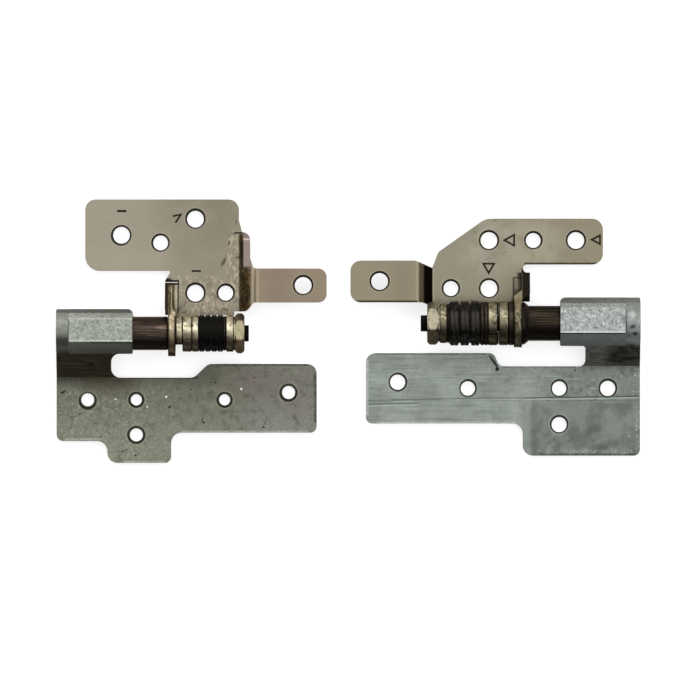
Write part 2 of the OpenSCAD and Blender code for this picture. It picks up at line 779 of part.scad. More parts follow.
// Side outline of the ear: a lobe round the shaft that runs down to its root on the fold
module ear_side(ear_r, sheet_v, relief_v, root_z) {
    translate([0, axis_z]) circle(r = ear_r);
    polygon([
        [ear_r * sin(ear_part), axis_z + ear_r * cos(ear_part)], [relief_v, root_z + ear_step_up],
        [relief_v, root_z], [sheet_v, root_z],
        [ear_r * cos(ear_leave), axis_z - ear_r * sin(ear_leave)]
    ]);
}

// Plan section of the ear, which steps from the fold to its place on the shaft
module ear_plan(wall_u, ear_u, t, step_v, step_len, relief_v) {
    shift = t * tan(atan2(ear_u - wall_u, step_len) / 2);
    polygon([
        [wall_u, relief_v], [wall_u, step_v + step_len], [ear_u, step_v], [ear_u, -beyond],
        [ear_u + t, -beyond], [ear_u + t, step_v + shift],
        [wall_u + t, step_v + step_len + shift], [wall_u + t, relief_v]
    ]);
}

// Section of a joggled arm: sheet, leaning wall and raised arm
module joggle_section(start_u, fold_u, run, end_u, t) {
    lean = atan2(joggle_rise, run);
    back = t * tan(lean / 2);
    polygon(rounded([
        [start_u, 0, 0],
        [fold_u, 0, joggle_r + t],
        [fold_u + run, joggle_rise, joggle_r],
        [end_u, joggle_rise, 0],
        [end_u, joggle_rise + t, 0],
        [fold_u + run - back, joggle_rise + t, joggle_r + t],
        [fold_u - back, t, joggle_r],
        [start_u, t, 0]
    ]));
}

// Left screen bracket, one folded sheet
module left_screen_bracket() {
    t = left_sheet_t;
    wall_u = left_fold_u - left_fold_r - t;
    root_v = left_relief_v - relief_cut;
    start_u = left_joggle_u - joggle_root;
    arm_v0 = left_arm_mid - left_arm_w / 2;
    arm_v1 = left_arm_mid + left_arm_w / 2;
    arm_u = left_joggle_u + left_joggle_run;
    color(nickel) left_place() difference() {
        union() {
            linear_extrude(height = t) polygon(rounded([
                [left_fold_u, left_sheet_v, 0],
                [start_u, left_sheet_v, 0],
                [start_u, left_flange_v, 0],
                [left_side_u + left_side_out, left_flange_v, 0],
                [left_side_u, left_flange_v + left_side_run, block_end_r],
                [left_side_u, left_wing_v1, left_wing_r],
                [left_wing_u, left_wing_v1, left_wing_r],
                [left_wing_u, left_wing_v0, left_wing_low_r],
                [wall_u + left_crook_run, left_wing_v0, block_r],
                [wall_u, left_relief_v + left_crook_rise, block_r],
                [wall_u, left_relief_v, 0],
                [left_fold_u, left_relief_v, 0]
            ]));
            along_v(left_sheet_v, root_v) ear_bend(left_fold_u, left_fold_r, t);
            intersection() {
                linear_extrude(height = beyond)
                    ear_plan(wall_u, left_ear_u, t, left_shaft_d / 2 + step_clear,
                        left_step_len, root_v);
                along_u(0, beyond)
                    ear_side(left_ear_r, left_sheet_v, root_v, left_fold_r + t);
            }
            intersection() {
                along_v(0, beyond)
                    joggle_section(start_u, left_joggle_u, left_joggle_run, left_arm_end, t);
                linear_extrude(height = beyond) polygon(rounded([
                    [start_u, left_joggle_v, 0],
                    [left_joggle_u + arm_lead, left_joggle_v, left_joggle_r],
                    [arm_u, arm_v0, arm_root_r],
                    [left_arm_end, arm_v0, left_arm_r],
                    [left_arm_end, arm_v1, left_arm_r],
                    [arm_u, arm_v1, arm_root_r],
                    [left_flange_u, arm_v1 + flange_foot, arm_root_r],
                    [left_flange_u, left_flange_v, flange_plan_r],
                    [start_u, left_flange_v, 0]
                ]));
                union() {
                    along_u(0, beyond) polygon(rounded([
                        [0, -1, 0],
                        [left_flange_v, -1, 0],
                        [left_flange_v, t - flange_dip, 0],
                        [left_flange_v - flange_end_len, left_flange_h, flange_r],
                        [0, left_flange_h, 0]
                    ]));
                    translate([0, 0, -1]) cube([beyond, arm_v1 + flange_dip, beyond]);
                }
            }
        }
        left_screen_holes();
        on_shaft(0) cylinder(d = journal_d + 2 * journal_gap, h = beyond / 2);
    }
}

// One hole through a screen bracket whose upper face is at top
module screen_hole(u, v, top, d) {
    rimmed_hole(u, v, top, d, screen_rim, screen_rim);
}

// All holes of the left screen bracket
module left_screen_holes() {
    t = left_sheet_t;
    wing_v = (left_wing_v0 + left_wing_v1) / 2;
    screen_hole(left_arm_end - left_arm_hole_in, left_arm_mid, joggle_rise + t, screen_screw_d);
    screen_hole(left_wing_u + left_wing_screw_in, wing_v, t, screen_screw_d);
    screen_hole(left_body_screw_u, left_wing_v1 - left_body_screw_in, t, screen_screw_d);
    screen_hole(left_body_screw_u, left_near_hole_v, t, screen_screw_d);
    screen_hole(left_wing_peg_u, left_wing_v0 + left_wing_peg_in, t, screen_peg_d);
    screen_hole(left_near_peg_u, left_near_hole_v, t, screen_peg_d);
}

// Right screen bracket, one folded sheet
module right_screen_bracket() {
    t = right_sheet_t;
    wall_u = right_fold_u - right_fold_r - t;
    root_v = right_relief_v;
    notch_r = (right_wing_v0 - right_relief_v) / 2;
    relief_u = wall_u + right_relief_in;
    start_u = right_joggle_u - joggle_root;
    side_v = right_slant_v - right_side_run;
    arm_v0 = right_arm_mid - right_arm_w / 2;
    arm_v1 = right_arm_mid + right_arm_w / 2;
    arm_u = right_joggle_u + right_joggle_run;
    color(nickel) right_place() difference() {
        union() {
            difference() {
                linear_extrude(height = t) polygon(rounded([
                    [right_fold_u, right_root_v, 0],
                    [right_fold_u + fold_cut, right_root_v, 0],
                    [right_fold_u + fold_cut, right_sheet_v, 0],
                    [start_u, right_sheet_v, 0],
                    [start_u, side_v, 0],
                    [right_side_u, side_v, 0],
                    [right_side_u - right_side_in, right_slant_v, right_slant_r],
                    [right_slant_u, right_wing_v1, right_shoulder_r],
                    [right_wing_u, right_wing_v1, right_wing_r],
                    [right_wing_u, right_wing_v0, right_wing_r],
                    [relief_u, right_wing_v0, 0],
                    [relief_u, right_relief_v, 0],
                    [wall_u + t, right_relief_v, 0],
                    [right_fold_u, right_relief_v - right_relief_cut, 0]
                ]));
                translate([relief_u, right_relief_v + notch_r, -1])
                    cylinder(r = notch_r, h = t + 2);
            }
            along_v(right_root_v, root_v) ear_bend(right_fold_u, right_fold_r, t);
            intersection() {
                linear_extrude(height = beyond)
                    ear_plan(wall_u, right_ear_u, t, right_collar_d / 2 + step_clear,
                        right_step_len, root_v);
                along_u(0, beyond)
                    ear_side(right_ear_r, right_root_v, root_v, right_fold_r + t);
            }
            intersection() {
                along_v(0, beyond)
                    joggle_section(start_u, right_joggle_u, right_joggle_run, right_arm_end, t);
                linear_extrude(height = beyond) polygon(rounded([
                    [start_u, right_joggle_v, 0],
                    [right_joggle_u, right_joggle_v, arm_root_r],
                    [arm_u - arm_lead, arm_v0, arm_root_r],
                    [right_arm_end, arm_v0, right_arm_r],
                    [right_arm_end, arm_v1, right_arm_r],
                    [arm_u + arm_lead, arm_v1, arm_root_r],
                    [right_side_u, side_v, arm_root_r],
                    [start_u, side_v, 0]
                ]));
            }
        }
        right_screen_holes();
        on_shaft(0) {
            cylinder(d = journal_d + 2 * journal_gap, h = beyond / 2);
            cam_lugs(right_ear_u - 1, right_sheet_t + 2, key_gap);
        }
    }
}

// All holes of the right screen bracket
module right_screen_holes() {
    t = right_sheet_t;
    wing_v = right_wing_v1 - right_wing_hole_in;
    screen_hole(right_arm_end - right_arm_hole_in, right_arm_mid, joggle_rise + t, screen_screw_d);
    screen_hole(right_wing_u + right_wing_screw_in, wing_v, t, screen_screw_d);
    screen_hole(right_body_screw_u, wing_v, t, screen_screw_d);
    screen_hole(right_body_screw_u, right_near_hole_v, t, screen_screw_d);
    screen_hole(right_wing_peg_u, wing_v, t, screen_peg_d);
    screen_hole(right_near_peg_u, right_near_hole_v, t, screen_peg_d);
}

// Left stack: washer beside the ear, with its lower side cut straight
module left_stop_washer() {
    color(bright) left_place() on_shaft(left_stop_u) difference() {
        keyed_washer(left_stack_d, left_stop_t);
        translate([-beyond / 2, -beyond - left_stop_cut, -1]) cube([beyond, beyond, left_stop_t + 2]);
    }
}

// Left stack: thick washer with a notch in its rim
module left_notched_washer() {
    color(bright) left_place() on_shaft(left_notched_u) difference() {
        keyed_washer(left_stack_d, left_notched_t);
        rotate([0, 0, 180 + left_notch_turn]) rim_notch(left_stack_d, left_notched_t);
    }
}

// Notch in the rim of a washer
module rim_notch(d, h) {
    translate([d / 2 - notch_depth, -notch_w / 2, -1]) cube([beyond, notch_w, h + 2]);
}

// Left stack: plain washer that the springs bear on
module left_thrust_washer() {
    color(bright) left_place() on_shaft(left_thrust_u) keyed_washer(left_stack_d, left_thrust_t);
}

// Left stack: one disc spring, every second one facing back
module left_disc_spring(i) {
    color(black) left_place() on_shaft(left_spring_u + i * left_spring_pitch)
        disc_spring(left_spring_d, left_spring_pitch, left_spring_t, i % 2 == 0);
}

// Left stack: thin dark washer at the springs' other end
module left_thin_washer() {
    color(black) left_place() on_shaft(left_thin_u) keyed_washer(left_stack_d - 0.4, left_thin_t);
}

// Left stack: thick bright washer under the nut
module left_pressure_washer() {
    color(bright) left_place() on_shaft(left_pressure_u) keyed_washer(left_stack_d, left_pressure_t);
}

// Left stack: hexagon nut
module left_nut() {
    color(bright) left_place() on_shaft(left_nut_u)
        hex_nut(left_nut_w, left_nut_t, left_nut_turn);
}

// Two lugs along the shaft, or with a gap added all round, the slots that take them
module cam_lugs(start, len, gap) {
    w = right_lug_w + 2 * gap;
    for (side = [0, 180]) {
        rotate([0, 0, 90 + right_lug_turn + side])
            translate([right_lug_r0 - gap, -w / 2, start])
                cube([right_lug_r1 - right_lug_r0 + 2 * gap, w, len]);
    }
}

// Right stack: washer between ear and cam, slotted for the cam's lugs
module right_ear_washer() {
    color(brown) right_place() on_shaft(0) difference() {
        translate([0, 0, right_ear_washer_u]) turned_bar(right_stack_d, right_ear_washer_t, edge_c);
        cylinder(d = journal_d + 2 * journal_gap, h = beyond);
        cam_lugs(right_ear_washer_u - 1, right_ear_washer_t + 2, key_gap);
    }
}

// Two lobes across a cam face, rising by h towards -z on sloping sides of width w
module cam_lobes(w, h) {
    root = right_sliding_t / 2;
    intersection() {
        translate([0, beyond / 2, 0]) rotate([90, 0, 0]) linear_extrude(height = beyond) polygon([
            [-w / 2, root], [-w / 2, 0], [-w * lobe_top / 2, -h],
            [w * lobe_top / 2, -h], [w / 2, 0], [w / 2, root]
        ]);
        translate([0, 0, -h]) cylinder(d = right_stack_d - 2 * edge_c, h = h + root);
    }
}

// Cam that turns with the ear, locked to it by two lugs, with hollows for the lobes
module right_turning_cam() {
    reach = right_ear_washer_t + right_sheet_t - lug_recess;
    color(bright) right_place() on_shaft(right_turning_u) {
        difference() {
            turned_bar(right_stack_d, right_turning_t, edge_c);
            translate([0, 0, right_turning_t])
                cam_lobes(right_lobe_w + 4 * key_gap, right_lobe_h + key_gap);
            translate([0, 0, -1])
                cylinder(d = thread_d + 2 * journal_gap, h = right_turning_t + 2);
        }
        cam_lugs(-reach, reach + right_turning_t / 2, 0);
    }
}

// Cam keyed to the shaft, with two lobes that face the turning cam
module right_sliding_cam() {
    color(bright) right_place() on_shaft(right_sliding_u) difference() {
        union() {
            turned_bar(right_stack_d, right_sliding_t, edge_c);
            cam_lobes(right_lobe_w, right_lobe_h);
        }
        translate([0, 0, -1]) keyed_bar(right_sliding_t + 2, key_gap);
        rotate([0, 0, 180 + right_notch_turn]) rim_notch(right_stack_d, right_sliding_t);
    }
}

// Right stack: one of the dark washers beside the springs
module right_dark_washer(i) {
    color(brown) right_place() on_shaft(right_dark_u + i * right_dark_t)
        keyed_washer(right_stack_d, right_dark_t);
}

// Right stack: one disc spring, every second one facing back
module right_disc_spring(i) {
    color(black) right_place() on_shaft(right_spring_u + i * right_spring_pitch)
        disc_spring(right_spring_d, right_spring_pitch, right_spring_t, i % 2 == 0);
}

// Right stack: thin dark washer at the springs' other end
module right_thin_washer() {
    color(black) right_place() on_shaft(right_thin_u)
        keyed_washer(right_pressure_d, right_thin_t);
}

// Right stack: bright washer under the nut
module right_pressure_washer() {
    color(bright) right_place() on_shaft(right_pressure_u)
        keyed_washer(right_pressure_d, right_pressure_t);
}

// Right stack: hexagon nut
module right_nut() {
    color(bright) right_place() on_shaft(right_nut_u)
        hex_nut(right_nut_w, right_nut_t, right_nut_turn);
}

left_base_bracket();
left_shaft();
left_screen_bracket();
left_stop_washer();
left_notched_washer();
left_thrust_washer();
for (i = [0 : left_springs - 1]) {
    left_disc_spring(i);
}
left_thin_washer();
left_pressure_washer();
left_nut();
right_base_bracket();
right_shaft();
right_screen_bracket();
right_ear_washer();
right_turning_cam();
right_sliding_cam();
for (i = [0, 1]) {
    right_dark_washer(i);
}
for (i = [0 : right_springs - 1]) {
    right_disc_spring(i);
}
right_thin_washer();
right_pressure_washer();
right_nut();
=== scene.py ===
import math

import bmesh
import bpy
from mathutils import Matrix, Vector


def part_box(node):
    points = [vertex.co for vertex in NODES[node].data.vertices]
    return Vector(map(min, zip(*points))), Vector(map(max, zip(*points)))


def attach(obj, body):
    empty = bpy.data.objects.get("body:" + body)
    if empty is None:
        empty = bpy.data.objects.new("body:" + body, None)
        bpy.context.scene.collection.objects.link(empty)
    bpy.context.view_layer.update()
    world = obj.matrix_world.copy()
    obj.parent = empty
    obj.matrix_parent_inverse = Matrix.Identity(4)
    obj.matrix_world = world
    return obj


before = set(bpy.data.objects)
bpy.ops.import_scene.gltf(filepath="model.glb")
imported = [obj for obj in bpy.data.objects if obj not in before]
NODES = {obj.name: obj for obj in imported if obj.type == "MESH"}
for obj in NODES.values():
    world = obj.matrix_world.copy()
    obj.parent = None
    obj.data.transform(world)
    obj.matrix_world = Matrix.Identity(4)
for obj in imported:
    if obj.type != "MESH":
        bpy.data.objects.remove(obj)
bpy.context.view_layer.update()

MM = 0.001

# Camera: straight down, on the middle of the photograph
VIEW_WIDTH = 129.6
VIEW_CENTRE = (0.32, -3.48, 1.5)
CAMERA_DISTANCE = 2500
SENSOR = 36


class Hinge:
    """One hinge's own frame, taken from the boxes of its CAD nodes."""

    def __init__(self, side):
        low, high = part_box(side + "_base_bracket")
        shaft_low, shaft_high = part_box(side + "_shaft")
        self.side = side
        self.out = low.x if side == "left" else high.x
        self.along = 1 if side == "left" else -1
        self.axis_y = (shaft_low.y + shaft_high.y) / 2
        self.axis_z = (shaft_low.z + shaft_high.z) / 2

    def point(self, u, v, z=0.0):
        """Place in metres of a point given in the hinge's frame."""
        return Vector((self.out + self.along * u * MM, self.axis_y + v * MM, z * MM))

    def mm(self, u, v, z=0.0):
        """The same place in millimetres, for the materials."""
        return self.point(u, v, z) / MM


LEFT = Hinge("left")
RIGHT = Hinge("right")


# Node materials. Colours are written as 8-bit sRGB values, but for this linear one.

SPECULAR_TINT = (0.5, 0.47, 0.42, 1)


def srgb(red, green, blue):
    """Linear colour from 8-bit sRGB values."""
    return tuple(
        c / 12.92 if c <= 0.04045 else ((c + 0.055) / 1.055) ** 2.4
        for c in (red / 255, green / 255, blue / 255)
    )


def fill(tree, node, values):
    """Puts numbers, colours, vectors or other nodes' outputs on a node's inputs."""
    for key, value in values.items():
        socket = node.inputs[key]
        if isinstance(value, bpy.types.NodeSocket):
            tree.links.new(value, socket)
        elif socket.type == "RGBA":
            socket.default_value = (*srgb(*value), 1)
        else:
            socket.default_value = value
    return node.outputs


class Shader:
    """A Principled material whose colour is painted in layers and whose bumps add up."""

    def __init__(self, name, hinge, metallic, specular=0.3):
        self.hinge = hinge
        self.material = bpy.data.materials.new(name)
        self.material.use_nodes = True
        self.tree = self.material.node_tree
        self.tree.nodes.clear()
        output = self.tree.nodes.new("ShaderNodeOutputMaterial")
        self.bsdf = self.tree.nodes.new("ShaderNodeBsdfPrincipled")
        self.tree.links.new(self.bsdf.outputs[0], output.inputs[0])
        self.bsdf.inputs["Metallic"].default_value = metallic
        self.bsdf.inputs["Specular IOR Level"].default_value = specular
        self.bsdf.inputs["Specular Tint"].default_value = SPECULAR_TINT
        self.coords = self.tree.nodes.new("ShaderNodeTexCoord").outputs
        self.position = self.scaled((1 / MM, 1 / MM, 1 / MM))
        self.place = self.parts(self.position)
        self.normal = self.parts(self.coords["Normal"])
        self.colour = None
        self.height = 0.0

    def scaled(self, scale):
        """Object coordinates, in millimetres when scale is 1 / MM."""
        node = self.tree.nodes.new("ShaderNodeMapping")
        return fill(self.tree, node, {"Scale": scale, "Vector": self.coords["Object"]})[0]

    def parts(self, vector):
        """The x, y and z of a vector."""
        return fill(self.tree, self.tree.nodes.new("ShaderNodeSeparateXYZ"), {0: vector})

    def noise(self, size, detail=3.0, rough=0.55, stretch=(1, 1, 1), warp=0.0, offset=0.0):
        """Noise of 0 to 1 whose features are about size millimetres across."""
        node = self.tree.nodes.new("ShaderNodeTexNoise")
        node.noise_dimensions = "4D"
        place = self.scaled(tuple(1 / (MM * size * share) for share in stretch))
        return fill(self.tree, node, {"Vector": place, "W": offset, "Scale": 1,
            "Detail": detail, "Roughness": rough, "Distortion": warp})["Fac"]

    def math(self, kind, a, b):
        node = self.tree.nodes.new("ShaderNodeMath")
        node.operation = kind
        return fill(self.tree, node, {0: a, 1: b})[0]

    def most(self, *values):
        """The greatest of some outputs."""
        total = values[0]
        for value in values[1:]:
            total = self.math("MAXIMUM", total, value)
        return total

    def times(self, *values):
        """The product of numbers and outputs."""
        total = values[0]
        for value in values[1:]:
            total = self.math("MULTIPLY", total, value)
        return total

    def step(self, value, start, end, to_start=0.0, to_end=1.0):
        """Smooth change from to_start to to_end as value goes from start to end, up or down."""
        node = self.tree.nodes.new("ShaderNodeMapRange")
        node.interpolation_type = "SMOOTHSTEP"
        return fill(self.tree, node, {"Value": value, "From Min": start, "From Max": end,
            "To Min": to_start, "To Max": to_end})[0]

    def mix(self, amount, a, b):
        """Colour a, turning to b as amount goes from 0 to 1."""
        node = self.tree.nodes.new("ShaderNodeMix")
        node.data_type = "RGBA"
        first, second = [i for i, socket in enumerate(node.inputs) if socket.type == "RGBA"]
        outputs = fill(self.tree, node, {"Factor": amount, first: a, second: b})
        return next(socket for socket in outputs if socket.type == "RGBA")

    def over(self, base, tone, amount, *masks):
        """A tone laid over a base colour where all the masks are 1."""
        return self.mix(self.times(*masks, amount), base, tone)

    def paint(self, tone, amount, *masks):
        """Lays a tone over the material's colour where all the masks are 1."""
        self.colour = self.over(self.colour, tone, amount, *masks)

    def patch(self, tone, amount, soft, *rectangles):
        """Lays a tone over rectangles of the plan, each (u0, u1, v0, v1), one by one."""
        for rectangle in rectangles:
            self.paint(tone, amount, self.area(*rectangle, soft))

    def vector(self, kind, a, b=None):
        node = self.tree.nodes.new("ShaderNodeVectorMath")
        node.operation = kind
        outputs = fill(self.tree, node, {0: a} if b is None else {0: a, 1: b})
        return outputs["Value" if kind in ("DISTANCE", "LENGTH") else 0]

    def band(self, index, low, high, soft):
        """1 between two places on one axis (mm), 0 outside."""
        place = self.place[index]
        rise = self.step(place, low - soft, low + soft)
        return self.times(rise, self.step(place, high + soft, high - soft))

    def along_u(self, u_from, u_to):
        """0 at u_from, 1 at u_to."""
        return self.step(self.place[0], self.hinge.mm(u_from, 0).x, self.hinge.mm(u_to, 0).x)

    def along_v(self, v_from, v_to):
        """0 at v_from, 1 at v_to."""
        return self.step(self.place[1], self.hinge.mm(0, v_from).y, self.hinge.mm(0, v_to).y)

    def area(self, u0, u1, v0, v1, soft):
        """1 inside a rectangle of the hinge's plan (mm), 0 outside."""
        low, high = self.hinge.mm(u0, v0), self.hinge.mm(u1, v1)
        across = self.band(0, min(low.x, high.x), max(low.x, high.x), soft)
        return self.times(across, self.band(1, low.y, high.y, soft))

    def uneven(self, distance, amount, size):
        """A distance made uneven by noise."""
        shift = self.math("MULTIPLY", self.noise(size, 3), amount * 2)
        return self.math("ADD", distance, self.math("SUBTRACT", shift, amount))

    def spot(self, centre, radius, soft=0.5, ragged=0.0, size=0.6):
        """1 inside a round spot at centre (mm), 0 outside, with a ragged edge."""
        distance = self.vector("DISTANCE", self.position, centre)
        if ragged:
            distance = self.uneven(distance, ragged, size)
        return self.step(distance, radius, radius * (1 - soft))

    def smear(self, u, v, z, length, width, turn, soft=0.7, ragged=0.3):
        """1 inside a ragged oval turned by so many degrees, 0 outside."""
        node = self.tree.nodes.new("ShaderNodeVectorRotate")
        node.rotation_type = "Z_AXIS"
        offset = self.vector("SUBTRACT", self.position, self.hinge.mm(u, v, z))
        turned_back = fill(self.tree, node, {"Vector": offset, "Angle": -math.radians(turn)})[0]
        stretched = self.vector("MULTIPLY", turned_back, (2 / length, 2 / width, 0.5))
        reach = self.uneven(self.vector("LENGTH", stretched), ragged, 0.5)
        return self.step(reach, 1, 1 - soft)

    def bump(self, height, depth):
        """Adds a height field to the bump, depth in millimetres."""
        self.height = self.math("ADD", self.height, self.math("MULTIPLY", height, depth * MM))

    def finish(self, roughness):
        """The material, with its colour, roughness and bumps in place."""
        node = self.tree.nodes.new("ShaderNodeBump")
        normal = fill(self.tree, node, {"Distance": 1, "Strength": 1, "Height": self.height})[0]
        fill(self.tree, self.bsdf,
            {"Base Color": self.colour, "Roughness": roughness, "Normal": normal})
        return self.material


# Centre (u, v) and rim radius of each hole, in millimetres
LEFT_BASE_HOLES = [(5.75, -12.5, 1.72), (42.9, -11.0, 1.72), (14.75, -12.3, 1.52),
    (31.1, -12.3, 1.52), (14.75, -18.8, 1.72)]
RIGHT_BASE_HOLES = [(5.95, -12.0, 1.76), (44.8, -10.95, 1.76), (14.95, -12.0, 1.62),
    (31.8, -12.0, 1.62), (14.95, -18.75, 1.76)]
LEFT_SCREEN_HOLES = [(25.7, 7.5, 1.92), (25.7, 21.2, 1.92), (11.9, 18.0, 1.92),
    (31.35, 7.5, 1.72), (19.2, 16.7, 1.72)]
LEFT_ARM_HOLE = [(45.65, 8.85, 1.92)]
RIGHT_SCREEN_HOLES = [(27.95, 6.45, 1.9), (27.95, 15.35, 1.9), (11.85, 15.35, 1.9),
    (35.0, 6.45, 1.72), (19.7, 15.35, 1.72)]
RIGHT_ARM_HOLE = [(48.2, 7.75, 1.9)]

# Heights of the faces, and how far the arms rise above the sheets (mm)
PLATE_TOP = 1.6
LEFT_SHEET = 1.35
RIGHT_SHEET = 1.5
JOGGLE_RISE = 2.6

# Steps between two states: z of the normal from sloping to flat, then heights (mm)
FLAT = (0.8, 0.97)
BLOCK_TOP = (6.4, 7.4)
BLOCK_HIGH = (6.0, 6.6)
RAMP_LOW = (7.2, 6.2)
ABOVE_PLATE = (1.8, 2.4)

PIT = (34, 32, 27)
BRIGHT_DOT = (238, 240, 234)


def scuffs_and_shade_marks(s, tone, marks):
    """Short dark smears by their height (mm), each (u, v, length, width, turn, strength); most are
    rubs and pits, some painted shade.
    """
    for z, rows in marks.items():
        for u, v, length, width, turn, strength in rows:
            s.paint(tone, strength, s.smear(u, v, z, length, width, turn))


def pits_and_dots(s, pits, dots):
    """Dark pits and bright dots on the plate's top, each (u, v, radius)."""
    for u, v, radius in pits:
        pit = s.spot(s.hinge.mm(u, v, PLATE_TOP), radius, 0.6, radius * 0.3, 0.5)
        s.paint(PIT, 1, pit)
        s.bump(pit, -0.05)
    for u, v, radius in dots:
        s.paint(BRIGHT_DOT, 1, s.spot(s.hinge.mm(u, v, PLATE_TOP), radius))


def hole_rims(s, holes, z, amount, dark, pale, shift):
    """A ring of painted shade round each hole (u, v, rim radius) and a thin halo of painted
    highlight outside it.
    """
    for u, v, radius in holes:
        centre = s.hinge.mm(u, v + shift, z)
        s.paint(pale, amount * 0.45, s.spot(centre, radius + 0.5, 0.35, 0.25, 0.7))
        s.paint(dark, amount, s.spot(centre, radius + 0.03, 0.06))


def lit_and_shaded_edges(s, amount, pale, dark):
    """Rounded edges painted by which way they face: a highlight, broken by noise, where they face
    the plate's front, and shade at the back.
    """
    rounded = s.times(s.step(s.normal[2], 0.15, 0.4), s.step(s.normal[2], *FLAT[::-1]),
        s.step(s.place[2], PLATE_TOP + 0.03, PLATE_TOP))
    worn = s.step(s.noise(1.1, 3, 0.6, offset=40), 0.35, 0.6, 0.35, 1.0)
    s.paint(pale, amount, rounded, s.step(s.normal[1], -0.15, -0.35), worn)
    s.paint(dark, amount, rounded, s.step(s.normal[1], 0.15, 0.35))


def edge_lines(s, amount, tone, *lines):
    """Lines painted along the plate's straight edges, each (u0, u1, v0, v1): shade where the tone
    is dark, highlight where it is pale, broken by noise.
    """
    on_plate = s.step(s.place[2], PLATE_TOP + 0.15, PLATE_TOP + 0.05)
    worn = s.step(s.noise(0.9, 3, 0.6, offset=41), 0.35, 0.6, 0.4, 1.0)
    for line in lines:
        s.paint(tone, amount, s.area(*line, 0.08), on_plate, worn)


def block_sides(s, cast, upper_tones, line, lower):
    """Chamfers of the block painted by which way they face, as light and shade, and a dark line of
    painted shade at its back.

    line and lower are a strength and a tone; lower's last value is the v where it begins.
    """
    slope = s.step(s.normal[2], 0.97, 0.9)
    s.paint(s.mix(s.step(cast, 0.42, 0.6), *upper_tones), 0.85,
        s.step(s.normal[1], 0.25, 0.5), s.step(s.place[2], *ABOVE_PLATE), slope)
    s.paint(line[1], line[0], s.area(-0.5, 15, 3.75, 5.2, 0.1), s.step(s.place[2], 2.0, 2.6))
    amount, tone, start = lower
    s.paint(tone, amount, s.step(s.normal[1], -0.25, -0.5), s.along_v(start, start + 0.3))


def block_top(s, tone, cast, rough_tones, depth):
    """The top of the block in a cast pattern; rough_tones are (start, end, amount, tone)."""
    for start, end, amount, rough_tone in rough_tones:
        tone = s.over(tone, rough_tone, amount, s.step(cast, start, end))
    top = s.step(s.place[2], *BLOCK_TOP)
    s.bump(s.times(top, cast), depth)
    s.paint(tone, 1, top)


def finish_zinc(s, seed, patch, smooth):
    """Casting grain in the bump, and a roughness that varies with the patches."""
    s.bump(s.noise(0.22, 4, 0.6, offset=seed + 8), 0.018)
    s.bump(s.noise(1.2, 3, 0.6, offset=seed + 9), 0.03)
    return s.finish(s.step(patch, 0.3, 0.75, *smooth))


